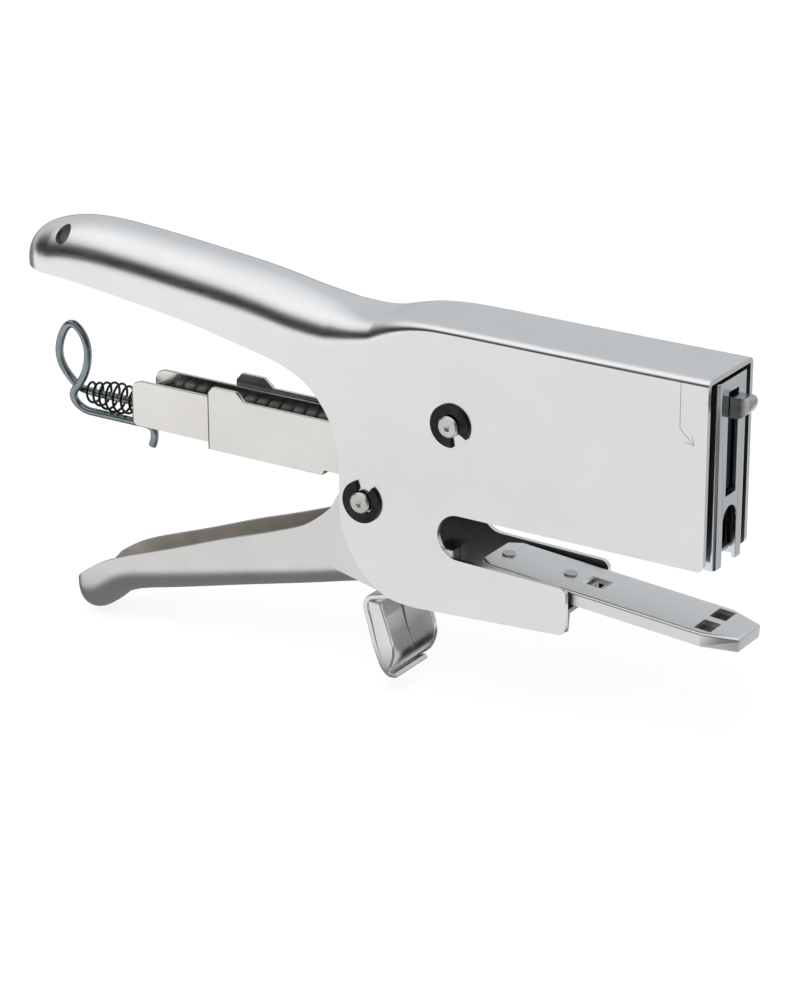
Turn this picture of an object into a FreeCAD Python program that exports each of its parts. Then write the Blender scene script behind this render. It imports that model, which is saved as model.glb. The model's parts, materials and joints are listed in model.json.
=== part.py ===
import FreeCAD, Part
import math
import os
import Sketcher
from FreeCAD import Placement, Rotation, Vector

# Plier stapler: a hand-squeezed stapler with a rocking magazine, a lever and a fixed anvil.
# Millimetres. +X points to the anvil tip, +Z up, and -Y is the near side plate.
# Every piece is drawn about the lever pin's axis, and its Placement then moves
# the origin to the middle of the whole stapler.

doc = FreeCAD.newDocument("PlierStapler")
sheet = doc.addObject("Spreadsheet::Sheet", "Sizes")

SIZES = (
    # folded body: two side plates, top and upper handle from one sheet
    ("bodyWidth", 20.0, "outside width over the side plates"),
    ("sheetWall", 1.2, "thickness of the body and lever sheet"),
    ("housingFront", 85.4, "front edge of the side plates"),
    ("housingTop", 44.4, "top of the housing"),
    ("topBend", 1.6, "outside bend radius along the housing's top"),
    ("mouthTop", 1.8, "lower edge of the housing, the mouth's upper lip"),
    ("jawTop", -8.8, "upper edge of the lower jaw"),
    ("jawFront", 52.4, "front edge of the lower jaw"),
    ("jawBottom", -22.5, "lowest edge of the side plates"),
    ("mouthRoot", 19.7, "deepest point of the mouth"),
    ("rearEdge", -6.2, "rear edge of the side plates"),
    ("rearEdgeHigh", 10.0, "upper end of the rear edge's straight part"),
    ("rearEdgeLow", -5.0, "lower end of the rear edge's straight part"),
    ("handleRear", -99.5, "rear tip of the upper handle"),
    ("handleCrown", 50.7, "highest point of the upper handle"),
    ("saddleCrown", 41.8, "low point where handle and housing meet"),
    ("gripRadius", 9.6, "radius of the handle's rounded crown"),
    ("tipLength", 12.0, "length of the handle's domed tip"),
    ("hangHole", 3.5, "diameter of the hanging hole"),
    ("hangHoleX", -84.3, "hanging hole, along the handle"),
    ("hangHoleDrop", 3.5, "hanging hole, below the crown"),
    # pins and clips
    ("pinDiameter", 5.0, "lever pin and spring pin"),
    ("springPinX", 23.07, "spring pin, forward of the lever pin"),
    ("springPinZ", 22.59, "spring pin, above the lever pin"),
    ("pinProud", 1.6, "pin end outside the near side plate"),
    ("pinHead", 7.6, "diameter of the pin heads on the far side"),
    ("pinHeadHeight", 1.6, "height of the pin heads"),
    ("clipDiameter", 9.9, "outside diameter of a retaining clip"),
    ("clipThickness", 0.7, "thickness of a retaining clip"),
    ("clipMouth", 3.4, "opening of a retaining clip"),
    ("pinClearance", 0.05, "radial clearance of a pin in its hole"),
    ("bushDiameter", 6.0, "spacer bush on the lever pin"),
    ("springDiameter", 8.2, "mean diameter of the return spring"),
    ("springWire", 1.2, "wire of the return spring"),
    ("springTurns", 5.0, "turns of the return spring"),
    # lever: lower handle, its cheeks and the driving nose
    ("leverGap", 0.6, "clearance between the lever and a side plate"),
    ("leverBend", 4.5, "bend radius along the lower handle's bottom"),
    ("leverRear", -84.8, "rear tip of the lower handle"),
    ("leverLow", -47.0, "lowest point of the lower handle"),
    ("leverSaddle", -22.0, "bottom of the lower handle at its front"),
    ("leverFront", 71.0, "front end of the lever's arms"),
    ("armDepth", 7.0, "depth of the lever's arms"),
    ("armBoss", 7.5, "radius of the cheeks around the lever pin"),
    ("noseTip", 90.8, "front of the driving nose"),
    ("noseLow", 34.3, "underside of the driving nose"),
    ("noseHeight", 4.7, "height of the driving nose"),
    ("noseWidth", 3.8, "width of the driving nose"),
    ("noseRearward", 6.5, "length of the nose block between the arms"),
    ("noseRivet", 3.0, "diameter of the nose block's rivet"),
    # magazine: outer channel and front guide
    ("magazineGap", 0.75, "clearance between the magazine and a lever cheek"),
    ("magazineWall", 0.9, "sheet of the magazine"),
    ("magazineRear", -44.9, "rear end of the outer channel"),
    ("magazineBottom", 2.2, "underside of the outer channel"),
    ("magazineTop", 15.4, "upper edge of the outer channel"),
    ("earHeight", 2.1, "rise of the rear ears above the channel"),
    ("earLength", 8.0, "length of the rear ears"),
    ("notchRear", -13.3, "rear end of the notch over the lever pin"),
    ("notchFront", 9.0, "front end of the notch over the lever pin"),
    ("notchHeight", 1.3, "height of the notch"),
    ("hangerRadius", 5.2, "radius of the magazine's ears on the lever pin"),
    ("guideFront", 86.2, "front face of the front guide"),
    ("guideDepth", 8.2, "depth of the front guide"),
    ("guideTop", 42.7, "top of the front guide"),
    ("guideBottom", 1.0, "foot of the front guide"),
    ("slotWidth", 4.5, "width of the nose slot"),
    ("slotLow", 16.7, "lower end of the nose slot"),
    ("slotTop", 40.0, "upper end of the nose slot"),
    ("archWidth", 6.2, "width of the arch in the guide's foot"),
    ("archTop", 14.1, "top of the arch in the guide's foot"),
    ("bladeThickness", 1.1, "driver blade"),
    ("bladeLow", 17.6, "lower end of the blade at rest"),
    ("bladeTop", 41.9, "upper end of the blade at rest"),
    ("slidingGap", 0.25, "clearance of pieces that slide in each other"),
    ("windowGap", 0.5, "clearance of the nose in the blade's window"),
    # staple track and what runs in it
    ("railGap", 0.95, "room for a staple's leg beside the rail"),
    ("railWall", 0.7, "sheet of the staple rail"),
    ("railTop", 13.9, "top of the staple rail"),
    ("railRear", -8.0, "rear end of the staple rail"),
    ("trayRear", -67.5, "rear end of the inner channel"),
    ("trayFront", -12.0, "front end of the inner channel"),
    ("trayWall", 0.8, "sheet of the inner channel"),
    ("trayTop", 14.6, "upper edge of the inner channel"),
    ("trayBottom", 3.4, "underside of the inner channel"),
    ("trayCorner", 2.6, "rounded rear corners of the inner channel"),
    ("rodDiameter", 2.0, "guide rod of the pusher"),
    ("rodZ", 9.6, "height of the guide rod"),
    ("rodFront", 80.5, "front end of the guide rod"),
    ("pusherLength", 9.0, "length of the staple pusher"),
    ("pusherFront", 82.6, "front face of the staple pusher"),
    ("pusherPlate", 0.75, "plate of the staple pusher over the rail"),
    ("pusherFloor", 1.4, "staple pusher below its rod"),
    ("pusherRoom", 0.5, "clearance of the pusher spring in the rail"),
    ("pusherWire", 0.6, "wire of the pusher spring"),
    ("pusherPitch", 3.6, "pitch of the pusher spring"),
    ("blockLength", 1.6, "length of the end block"),
    ("blockTop", 11.0, "top of the end block"),
    # wire handle and its spring
    ("handleWire", 1.9, "wire of the pull loop"),
    ("loopTop", 23.0, "top of the pull loop, wire centre"),
    ("loopRear", -92.6, "rear of the pull loop, wire centre"),
    ("loopFront", -84.0, "front strand of the pull loop, wire centre"),
    ("strandLow", 1.9, "lower strand, wire centre height"),
    ("strandHigh", 6.9, "upper strand, wire centre height"),
    ("hookX", -64.8, "hook of the lower strand"),
    ("barrelNeck", 4.6, "mean diameter of the barrel spring's ends"),
    ("barrelBulge", 7.0, "mean diameter of the barrel spring's middle"),
    ("barrelWire", 0.6, "wire of the barrel spring"),
    ("barrelRear", -84.0, "rear end of the barrel spring"),
    # anvil
    ("anvilRear", 28.9, "rear end of the anvil bar"),
    ("anvilRearZ", -8.8, "top of the anvil bar at its rear end"),
    ("anvilTilt", 4.3, "slope of the anvil bar, degrees"),
    ("anvilLength", 63.3, "length of the anvil bar"),
    ("anvilGap", 1.1, "clearance between the anvil bar and a side plate"),
    ("anvilDepth", 3.1, "depth of the anvil bar's sides"),
    ("anvilWall", 1.2, "sheet of the anvil bar"),
    ("anvilTip", 9.6, "width of the anvil bar's tip"),
    ("anvilTaper", 7.8, "length of the tapered tip"),
    ("clinchFromTip", 8.4, "clinch pockets, behind the anvil bar's tip"),
    ("clinchLength", 4.0, "length of a clinch pocket"),
    ("clinchWidth", 5.0, "width of a clinch pocket"),
    ("clinchBridge", 2.0, "bridge between the clinch pockets"),
    ("clinchDepth", 0.7, "depth of the grooves in the clinch plate"),
    ("latchWindow", 5.2, "length of the window in the anvil bar"),
    ("latchWindowAt", 26.0, "window centre, along the anvil bar"),
    ("rivetDiameter", 3.0, "anvil rivets"),
    ("rivetRearAt", 3.3, "rear anvil rivet, along the bar"),
    ("rivetFrontAt", 19.1, "front anvil rivet, along the bar"),
    ("supportLength", 22.5, "length of the anvil support"),
    ("supportDepth", 9.5, "depth of the anvil support"),
    # finger guard under the body
    ("guardWidth", 14.0, "width of the finger guard"),
    ("guardRear", -1.0, "rear wall of the finger guard at its top"),
    ("guardLow", -42.2, "lowest edge of the finger guard"),
    ("guardTop", -25.2, "top plate of the finger guard"),
    ("guardReach", 9.3, "front of the finger guard's far cheek"),
    ("guardStrap", 15.0, "length of the finger guard's strap"),
    ("guardRise", 4.0, "rise of the finger guard's strap"),
    ("guardEar", 10.6, "rear of the finger guard's ears, along the strap"),
    ("guardEarLow", 1.8, "rear lower corner of the ears above the strap's rear"),
    ("guardEarFoot", 3.0, "front lower corner of the ears above the strap's rear"),
    ("guardEarTop", 11.0, "top of the ears above the strap's rear"),
    ("guardCurl", 2.4, "length of the guard's curled foot"),
    ("guardLeaf", 6.0, "height of the near cheek's foot"),
)

FOLLOWING = (
    ("leverWidth", "bodyWidth - 2 * (sheetWall + leverGap)", "outside width of the lower handle"),
    ("magazineWidth", "leverWidth - 2 * (sheetWall + magazineGap)", "outside width of the magazine"),
    ("railWidth", "magazineWidth - 2 * (magazineWall + railGap)", "outside width of the staple rail"),
    ("pusherCoil", "railWidth - 2 * (railWall + pusherRoom) - pusherWire", "mean diameter of the pusher spring"),
    ("anvilWidth", "bodyWidth - 2 * (sheetWall + anvilGap)", "width of the anvil bar"),
    ("clinchAt", "anvilLength - clinchFromTip", "clinch pockets, along the anvil bar"),
    ("hangHoleZ", "handleCrown - hangHoleDrop", "hanging hole, height"),
)

size = {}
for row, (name, value, note) in enumerate(SIZES, start=1):
    sheet.set("A%d" % row, str(value))
    sheet.setAlias("A%d" % row, name)
    sheet.set("B%d" % row, note)
    size[name] = value
for row, (name, formula, note) in enumerate(FOLLOWING, start=len(SIZES) + 1):
    sheet.set("A%d" % row, "=" + formula)
    sheet.setAlias("A%d" % row, name)
    sheet.set("B%d" % row, note)
doc.recompute()
for name, formula, note in FOLLOWING:
    size[name] = float(sheet.get(name))

originX = "(Sizes.handleRear + Sizes.anvilRear + Sizes.anvilLength * cos(Sizes.anvilTilt * 1 deg)) / 2"
originZ = "(Sizes.handleCrown + Sizes.leverLow) / 2"
FINISHED = []


def value(expression):
    return float(sheet.evalExpression(expression))


def finish(piece, label, x="0", z="0"):
    """Names a sub-part and moves it from the pin's axis to the stapler's middle."""
    piece.Label = label
    piece.setExpression(".Placement.Base.x", "%s - %s" % (x, originX))
    piece.setExpression(".Placement.Base.z", "%s - %s" % (z, originZ))
    FINISHED.append(piece)


def feature(label, shape):
    piece = doc.addObject("Part::Feature", label)
    piece.Shape = shape
    piece.Placement = Placement(Vector(-value(originX), 0, -value(originZ)), Rotation())
    piece.Label = label
    FINISHED.append(piece)
    return piece


def cylinder(name, radius, low, high, x="0", z="0"):
    """A cylinder along Y, from low to high."""
    piece = doc.addObject("Part::Cylinder", name)
    piece.Placement = Placement(Vector(), Rotation(Vector(1, 0, 0), -90))
    piece.setExpression("Radius", radius)
    piece.setExpression("Height", "(%s) - (%s)" % (high, low))
    piece.setExpression(".Placement.Base.x", x)
    piece.setExpression(".Placement.Base.y", low)
    piece.setExpression(".Placement.Base.z", z)
    return piece


def box(name, x, y, z):
    """A box between three pairs of expressions."""
    piece = doc.addObject("Part::Box", name)
    for side, key, span in (("Length", "x", x), ("Width", "y", y), ("Height", "z", z)):
        piece.setExpression(side, "(%s) - (%s)" % (span[1], span[0]))
        piece.setExpression(".Placement.Base." + key, span[0])
    return piece


def fuse(name, pieces):
    joined = doc.addObject("Part::MultiFuse", name)
    joined.Shapes = pieces
    return joined


def cut(name, base, tool):
    result = doc.addObject("Part::Cut", name)
    result.Base = base
    result.Tool = tool
    return result


def sketch(body, plane, name, points, offset="0"):
    """A closed outline in one of the body's origin planes, each corner bound to the sheet."""
    drawing = body.newObject("Sketcher::SketchObject", name)
    support = [item for item in body.Origin.OriginFeatures if item.Role == plane][0]
    drawing.AttachmentSupport = [(support, "")]
    drawing.MapMode = "FlatFace"
    drawing.setExpression(".AttachmentOffset.Base.z", offset)
    corners = [Vector(value(across), value(up), 0) for across, up in points]
    count = len(corners)
    for number in range(count):
        drawing.addGeometry(Part.LineSegment(corners[number], corners[(number + 1) % count]))
    for number in range(count):
        drawing.addConstraint(Sketcher.Constraint("Coincident", number, 2, (number + 1) % count, 1))
    for number, (across, up) in enumerate(points):
        at = drawing.addConstraint(Sketcher.Constraint("DistanceX", -1, 1, number, 1, corners[number].x))
        drawing.setExpression("Constraints[%d]" % at, across)
        at = drawing.addConstraint(Sketcher.Constraint("DistanceY", -1, 1, number, 1, corners[number].y))
        drawing.setExpression("Constraints[%d]" % at, up)
    return drawing


def disc(body, plane, name, across, up, radius, offset="0"):
    """A circle in one of the body's origin planes."""
    drawing = body.newObject("Sketcher::SketchObject", name)
    support = [item for item in body.Origin.OriginFeatures if item.Role == plane][0]
    drawing.AttachmentSupport = [(support, "")]
    drawing.MapMode = "FlatFace"
    drawing.setExpression(".AttachmentOffset.Base.z", offset)
    centre = Vector(value(across), value(up), 0)
    drawing.addGeometry(Part.Circle(centre, Vector(0, 0, 1), value(radius)))
    for kind, number, amount in (("DistanceX", centre.x, across), ("DistanceY", centre.y, up)):
        at = drawing.addConstraint(Sketcher.Constraint(kind, -1, 1, 0, 3, number))
        drawing.setExpression("Constraints[%d]" % at, amount)
    at = drawing.addConstraint(Sketcher.Constraint("Radius", 0, value(radius)))
    drawing.setExpression("Constraints[%d]" % at, radius)
    return drawing


def extrude(body, kind, name, drawing, length, both=True, backwards=False):
    """Pads or pockets a sketch, both ways from its plane or one way."""
    step = body.newObject("PartDesign::" + kind, name)
    step.Profile = drawing
    step.SideType = "Symmetric" if both else "One side"
    step.Reversed = backwards
    step.setExpression("Length", length)
    drawing.Visibility = False
    return step


def rectangle(left, low, right, high):
    return ((left, low), (right, low), (right, high), (left, high))


def around(start, middle, end):
    return Part.Arc(Vector(*start), Vector(*middle), Vector(*end)).toShape()


def curve(points, start=None, end=None):
    """A smooth edge through the points, with end directions where they are given."""
    spline = Part.BSplineCurve()
    options = {"Points": [Vector(*point) for point in points]}
    if start:
        options["InitialTangent"] = Vector(*start)
    if end:
        options["FinalTangent"] = Vector(*end)
    spline.interpolate(**options)
    return spline.toShape()


def line(start, end):
    return Part.LineSegment(Vector(*start), Vector(*end)).toShape()


def slab(edges, low, high):
    """An XZ outline, given at Y = 0, as a solid from Y = low to Y = high."""
    face = Part.Face(Part.Wire(edges))
    face.translate(Vector(0, low, 0))
    return face.extrude(Vector(0, high - low, 0))


def arch(x, half, corner, crown, foot):
    """A section across the handle: straight sides and a rounded crown, up or down."""
    sign = 1.0 if crown > foot else -1.0
    corner = min(corner, half * 0.985)
    slant = corner * (1 - math.sqrt(0.5))
    spring = crown - sign * corner
    edges = [line((x, -half, foot), (x, -half, spring))]
    edges.append(around((x, -half, spring), (x, -half + slant, crown - sign * slant), (x, -half + corner, crown)))
    edges.append(line((x, -half + corner, crown), (x, half - corner, crown)))
    edges.append(around((x, half - corner, crown), (x, half - slant, crown - sign * slant), (x, half, spring)))
    edges.append(line((x, half, spring), (x, half, foot)))
    edges.append(line((x, half, foot), (x, -half, foot)))
    return Part.Wire(edges)


def ease(amount):
    """Goes smoothly from 0 to 1 as amount does."""
    amount = max(0.0, min(1.0, amount))
    return amount * amount * (3 - 2 * amount)


def dome(x, rear, length, half):
    """Half the width of a handle's rounded tip at x."""
    if x >= rear + length:
        return half
    share = (rear + length - x) / length
    return half * math.sqrt(max(0.0, 1 - share * share))


def coil(middle, radii, step, wire, start=0.0):
    """A wound wire along X: radii holds the winding radius at equal steps of a quarter turn."""
    points = []
    for quarter, radius in enumerate(radii):
        turn = start + quarter * math.pi / 2
        points.append((middle[0] + step * quarter, middle[1] + radius * math.cos(turn),
                       middle[2] + radius * math.sin(turn)))
    return tube([curve(points)], wire, True)


def tube(path, diameter, wound=False):
    """A round wire along a path; wound follows a coil's own twist."""
    spine = Part.Wire(path)
    start = spine.Edges[0].valueAt(spine.Edges[0].FirstParameter)
    along = spine.Edges[0].tangentAt(spine.Edges[0].FirstParameter)
    ring = Part.Wire(Part.Circle(start, along, diameter / 2).toShape())
    return spine.makePipeShell([ring], True, wound)


# ---------------------------------------------------------------- body
half = size["bodyWidth"] / 2
wall = size["sheetWall"]
inner = half - wall
rear = size["handleRear"]
crown = size["handleCrown"]
saddle = size["saddleCrown"]
housingStart = size["mouthRoot"]


def crest():
    """The handle's crown line from the domed tip to the housing, as (x, z)."""
    drop = crown - saddle
    return (
        (rear + 0.2, crown - 1.00 * drop),
        (rear + 0.08 * size["tipLength"], crown - 0.80 * drop),
        (rear + 0.24 * size["tipLength"], crown - 0.60 * drop),
        (rear + 0.52 * size["tipLength"], crown - 0.345 * drop),
        (rear + 1.00 * size["tipLength"], crown - 0.12 * drop),
        (rear + 1.90 * size["tipLength"], crown),
        (rear + 0.36 * -rear, crown - 0.10 * drop),
        (rear + 0.55 * -rear, crown - 0.28 * drop),
        (rear + 0.69 * -rear, crown - 0.46 * drop),
        (rear + 0.80 * -rear, crown - 0.68 * drop),
        (rear + 0.90 * -rear, crown - 0.89 * drop),
        (rear + 0.97 * -rear, saddle),
        (0.13 * housingStart, saddle + 0.25 * (size["housingTop"] - saddle)),
        (0.50 * housingStart, saddle + 0.80 * (size["housingTop"] - saddle)),
        (housingStart, size["housingTop"]),
    )


def bend(x):
    """The crown's corner radius: round on the handle, tight on the housing."""
    share = (housingStart - x) / (housingStart - rear / 3)
    return size["topBend"] + (size["gripRadius"] - size["topBend"]) * ease(share)


def crownSolid(inset):
    """The handle and housing as one filled bar, shrunk by inset on every side."""
    sections = []
    for x, z in crest():
        shift = inset * max(0.0, 1 - (x - rear) / size["tipLength"])
        width = dome(x + shift, rear + inset, size["tipLength"] - inset, half - inset)
        sections.append(arch(x + shift, width, bend(x) - inset, z - inset, size["jawBottom"] * 2))
    handle = Part.makeLoft(sections, True, False)
    last = arch(housingStart, half - inset, size["topBend"] - inset, size["housingTop"] - inset,
                size["jawBottom"] * 2)
    housing = Part.Face(last).extrude(Vector(size["housingFront"] * 1.2 - housingStart, 0, 0))
    return handle.fuse(housing)


def sideOutline():
    """Outline of the side plates: handle edge, rear edge, jaw, mouth and housing."""
    front = size["housingFront"]
    top = size["mouthTop"]
    lip = size["jawTop"]
    low = size["jawBottom"]
    jaw = size["jawFront"]
    back = size["rearEdge"]
    rootRadius = (top - lip) / 2
    rootX = size["mouthRoot"] + rootRadius
    gripEdge = saddle - 1.3
    high = size["rearEdgeHigh"]
    round_ = 1.8
    small = 1.5
    edges = [curve(((rear - 0.5, 0, gripEdge + 0.3), (rear + 7.5, 0, gripEdge - 0.3),
                    (rear + 0.30 * -rear, 0, gripEdge - 3.7), (rear + 0.55 * -rear, 0, gripEdge - 7.4),
                    (rear + 0.75 * -rear, 0, gripEdge - 11.5), (back * 2.3, 0, gripEdge - 15.6),
                    (back * 1.35, 0, high + 0.2459016 * (gripEdge - high)), (back, 0, high)), end=(0, 0, -1))]
    edges.append(line((back, 0, high), (back, 0, size["rearEdgeLow"])))
    edges.append(curve(((back, 0, size["rearEdgeLow"]), (back + 3.2, 0, -13.5), (back + 8.6, 0, -19.8), (back + 18.2, 0, low)),
                       start=(0, 0, -1), end=(1, 0, 0)))
    heel = low + 2.0
    edges.append(line((back + 18.2, 0, low), (jaw - round_, 0, heel)))
    edges.append(around((jaw - round_, 0, heel), (jaw - 0.3 * round_, 0, heel + 0.3 * round_), (jaw, 0, heel + round_)))
    edges.append(line((jaw, 0, heel + round_), (jaw, 0, lip - 0.6 - round_)))
    edges.append(around((jaw, 0, lip - 0.6 - round_), (jaw - 0.3 * round_, 0, lip - 0.6 - 0.3 * round_),
                        (jaw - round_, 0, lip - 0.6)))
    edges.append(line((jaw - round_, 0, lip - 0.6), (rootX, 0, lip)))
    edges.append(around((rootX, 0, lip), (rootX - rootRadius, 0, lip + rootRadius), (rootX, 0, top)))
    edges.append(line((rootX, 0, top), (front - small, 0, top)))
    edges.append(around((front - small, 0, top), (front - 0.3 * small, 0, top + 0.3 * small),
                        (front, 0, top + small)))
    edges.append(line((front, 0, top + small), (front, 0, crown + 10)))
    edges.append(line((front, 0, crown + 10), (rear - 0.5, 0, crown + 10)))
    edges.append(line((rear - 0.5, 0, crown + 10), (rear - 0.5, 0, gripEdge + 0.3)))
    return edges


def bodyShell():
    shell = crownSolid(0).cut(crownSolid(wall))
    shell = shell.common(slab(sideOutline(), -half - 1, half + 1))
    bore = size["pinDiameter"] / 2 + size["pinClearance"]
    for x, z, radius in ((0, 0, bore), (size["springPinX"], size["springPinZ"], bore),
                         (size["hangHoleX"], size["hangHoleZ"], size["hangHole"] / 2)):
        drill = Part.makeCylinder(radius, 3 * half, Vector(x, -1.5 * half, z), Vector(0, 1, 0))
        shell = shell.cut(drill)
    return shell


feature("body_shell", bodyShell())

HALF = "Sizes.bodyWidth / 2"
INNER = "(Sizes.bodyWidth / 2 - Sizes.sheetWall)"
PIN = "Sizes.pinDiameter / 2"


def pin(label, x, z):
    """A headed pin through both side plates, grooved for its clip on the near side."""
    shaft = cylinder(label + "_shaft", PIN, "-(%s) - Sizes.pinProud" % HALF, HALF, x, z)
    head = cylinder(label + "_head", "Sizes.pinHead / 2", HALF, HALF + " + Sizes.pinHeadHeight", x, z)
    groove = cylinder(label + "_groove_outer", "Sizes.pinDiameter", "-(%s) - Sizes.clipThickness - 0.1" % HALF,
                      "-(%s)" % HALF, x, z)
    core = cylinder(label + "_groove_core", PIN + " - 0.5", "-(%s) - Sizes.clipThickness - 0.2" % HALF,
                    "-(%s) + 0.1" % HALF, x, z)
    ring = cut(label + "_groove", groove, core)
    finish(cut(label, fuse(label + "_blank", [shaft, head]), ring), label)


def clip(label, x, z, turn):
    """An open retaining ring in a pin's groove."""
    outside = cylinder(label + "_outside", "Sizes.clipDiameter / 2", "-(%s) - Sizes.clipThickness - 0.05" % HALF,
                       "-(%s) - 0.05" % HALF, x, z)
    inside = cylinder(label + "_inside", PIN + " - 0.4", "-(%s) - Sizes.clipThickness - 1" % HALF,
                      "-(%s) + 1" % HALF, x, z)
    mouth = doc.addObject("Part::Box", label + "_mouth")
    mouth.setExpression("Length", "Sizes.clipDiameter")
    mouth.setExpression("Width", "Sizes.clipThickness + 2")
    mouth.setExpression("Height", "Sizes.clipMouth")
    swing = Rotation(Vector(0, 1, 0), turn)
    corner = swing.multVec(Vector(0, 0, -size["clipMouth"] / 2))
    mouth.Placement = Placement(Vector(), swing)
    mouth.setExpression(".Placement.Base.x", "(%s) + %f * Sizes.clipMouth" % (x, corner.x / size["clipMouth"]))
    mouth.setExpression(".Placement.Base.y", "-(%s) - Sizes.clipThickness - 1" % HALF)
    mouth.setExpression(".Placement.Base.z", "(%s) + %f * Sizes.clipMouth" % (z, corner.z / size["clipMouth"]))
    finish(cut(label, outside, fuse(label + "_opening", [inside, mouth])), label)


SPRING_X = "Sizes.springPinX"
SPRING_Z = "Sizes.springPinZ"
pin("lever_pin", "0", "0")
pin("spring_pin", SPRING_X, SPRING_Z)
clip("lever_pin_clip", "0", "0", -75)
clip("spring_pin_clip", SPRING_X, SPRING_Z, 55)

EAR_IN = "(Sizes.magazineWidth / 2 - Sizes.magazineWall)"


def sleeve(label, x, z, outer, reach):
    """A tube on a pin, centred between the side plates."""
    tubeOuter = cylinder(label + "_outer", outer, "-(%s)" % reach, reach, x, z)
    tubeInner = cylinder(label + "_inner", PIN + " + Sizes.pinClearance", "-(%s) - 1" % reach,
                         "(%s) + 1" % reach, x, z)
    finish(cut(label, tubeOuter, tubeInner), label)


sleeve("pivot_bush", "0", "0", "Sizes.bushDiameter / 2", EAR_IN + " - 0.3")
sleeve("spring_spacer", SPRING_X, SPRING_Z, PIN + " + 0.5", INNER)


def spread(start, end):
    """Points along a straight leg that leaves a coil at start, closer together near the coil."""
    shares = (0.03, 0.08, 0.2, 0.45, 1.0)
    return [tuple(a + share * (b - a) for a, b in zip(start, end)) for share in shares]


def returnSpring():
    """Torsion spring: coils round the spacer, one leg under the nose block, one against the top."""
    radius = size["springDiameter"] / 2
    wire = size["springWire"]
    turns = size["springTurns"]
    centreX = size["springPinX"]
    centreZ = size["springPinZ"]
    first = -wire * 1.25 * turns / 2
    noseX = size["leverFront"] - size["noseRearward"] / 2
    noseZ = size["noseLow"] - wire / 2 - 0.3
    away = math.hypot(noseX - centreX, noseZ - centreZ)
    begin = math.atan2(noseZ - centreZ, noseX - centreX) + math.acos(radius / away)
    end = math.radians(30) + 2 * math.pi * turns
    steps = int(8 * turns)
    wound = []
    for step in range(steps + 1):
        turn = begin + (end - begin) * step / steps
        wound.append((centreX + radius * math.cos(turn), first - 2 * first * step / steps,
                      centreZ + radius * math.sin(turn)))
    last = wound[-1]
    climb = size["housingTop"] - wall - wire / 2 - 0.7 - last[2]
    forward = spread(wound[0], (noseX, first, noseZ))
    upward = spread(last, (last[0] - climb * math.tan(math.radians(30)), last[1], last[2] + climb))
    return tube([curve(forward[::-1] + wound + upward)], wire)


feature("return_spring", returnSpring())

# ---------------------------------------------------------------- lever
cheekOut = size["leverWidth"] / 2
cheekIn = cheekOut - wall


def leverTrough():
    """The lower handle: a rounded trough with a drooping, domed tip."""
    back = size["leverRear"]
    low = size["leverLow"]
    front = size["leverSaddle"]
    rise = front - low
    span = -back
    stations = (
        (back + 0.15, low + 0.12 * rise, low + 0.24 * rise),
        (back + 0.014 * span, low + 0.03 * rise, low + 0.35 * rise),
        (back + 0.035 * span, low, low + 0.42 * rise),
        (back + 0.060 * span, low + 0.01 * rise, low + 0.50 * rise),
        (back + 0.095 * span, low + 0.095 * rise, low + 0.56 * rise),
        (back + 0.137 * span, low + 0.20 * rise, low + 0.635 * rise),
        (back + 0.182 * span, low + 0.285 * rise, low + 0.692 * rise),
        (back + 0.28 * span, low + 0.37 * rise, low + 0.815 * rise),
        (back + 0.44 * span, low + 0.52 * rise, low + 1.02 * rise),
        (back + 0.60 * span, low + 0.67 * rise, low + 1.22 * rise),
        (back + 0.75 * span, low + 0.81 * rise, low + 1.41 * rise),
        (back + 0.85 * span, low + 0.88 * rise, low + 1.53 * rise),
        (back + 1.02 * span, front, low + 1.60 * rise),
    )
    tip = 0.11 * span
    outer = []
    hollow = []
    for x, bottom, top in stations:
        shift = wall * max(0.0, 1 - (x - back) / tip)
        outer.append(arch(x, dome(x, back, tip, cheekOut), size["leverBend"], bottom, top))
        inside = dome(x + shift, back + wall, tip - wall, cheekIn)
        hollow.append(arch(x + shift, inside, size["leverBend"] - wall, bottom + wall, top + 3))
    hollow[-1] = arch(stations[-1][0] + 1, cheekIn, size["leverBend"] - wall, front + wall,
                      stations[-1][2] + 3)
    return Part.makeLoft(outer, True, False).cut(Part.makeLoft(hollow, True, False))


def cheekOutline():
    """Outline of a cheek: it rounds the lever pin and runs up to the nose as an arm."""
    boss = size["armBoss"]
    tip = size["leverFront"]
    noseMid = size["noseLow"] + size["noseHeight"] / 2
    deep = size["armDepth"] / 2
    underPin = size["springPinZ"] - size["pinDiameter"] / 2 - 0.5 - 0.35
    pinX = size["springPinX"]
    edges = [curve(((-0.15 * tip, 0, -6.8), (-boss, 0, -0.5), (-0.55 * boss, 0, 0.75 * boss), (0.3 * boss, 0, 1.25 * boss),
                    (pinX - 4.0, 0, underPin - 2.0)), start=(0.6, 0, 0.8))]
    edges.append(line((pinX - 4.0, 0, underPin - 2.0), (pinX + 4.0, 0, underPin)))
    edges.append(curve(((pinX + 4.0, 0, underPin), (0.62 * tip, 0, noseMid - 2.6), (tip - 9, 0, noseMid + deep),
                        (tip - 2, 0, noseMid + deep)), end=(1, 0, 0)))
    edges.append(around((tip - 2, 0, noseMid + deep), (tip, 0, noseMid), (tip - 2, 0, noseMid - deep)))
    edges.append(curve(((tip - 2, 0, noseMid - deep), (tip - 11, 0, noseMid - deep - 0.8),
                        (0.58 * tip, 0, noseMid - 14.5), (pinX + 2, 0, 0.9 * boss), (1.5 * boss, 0, 0),
                        (0.95 * boss, 0, -1.2 * boss), (0.3 * boss, 0, size["leverSaddle"] + 0.5)),
                       start=(-1, 0, 0)))
    edges.append(line((0.3 * boss, 0, size["leverSaddle"] + 0.5), (-0.15 * tip, 0, size["leverSaddle"] + 3.5)))
    edges.append(line((-0.15 * tip, 0, size["leverSaddle"] + 3.5), (-0.15 * tip, 0, -6.8)))
    return edges


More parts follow.
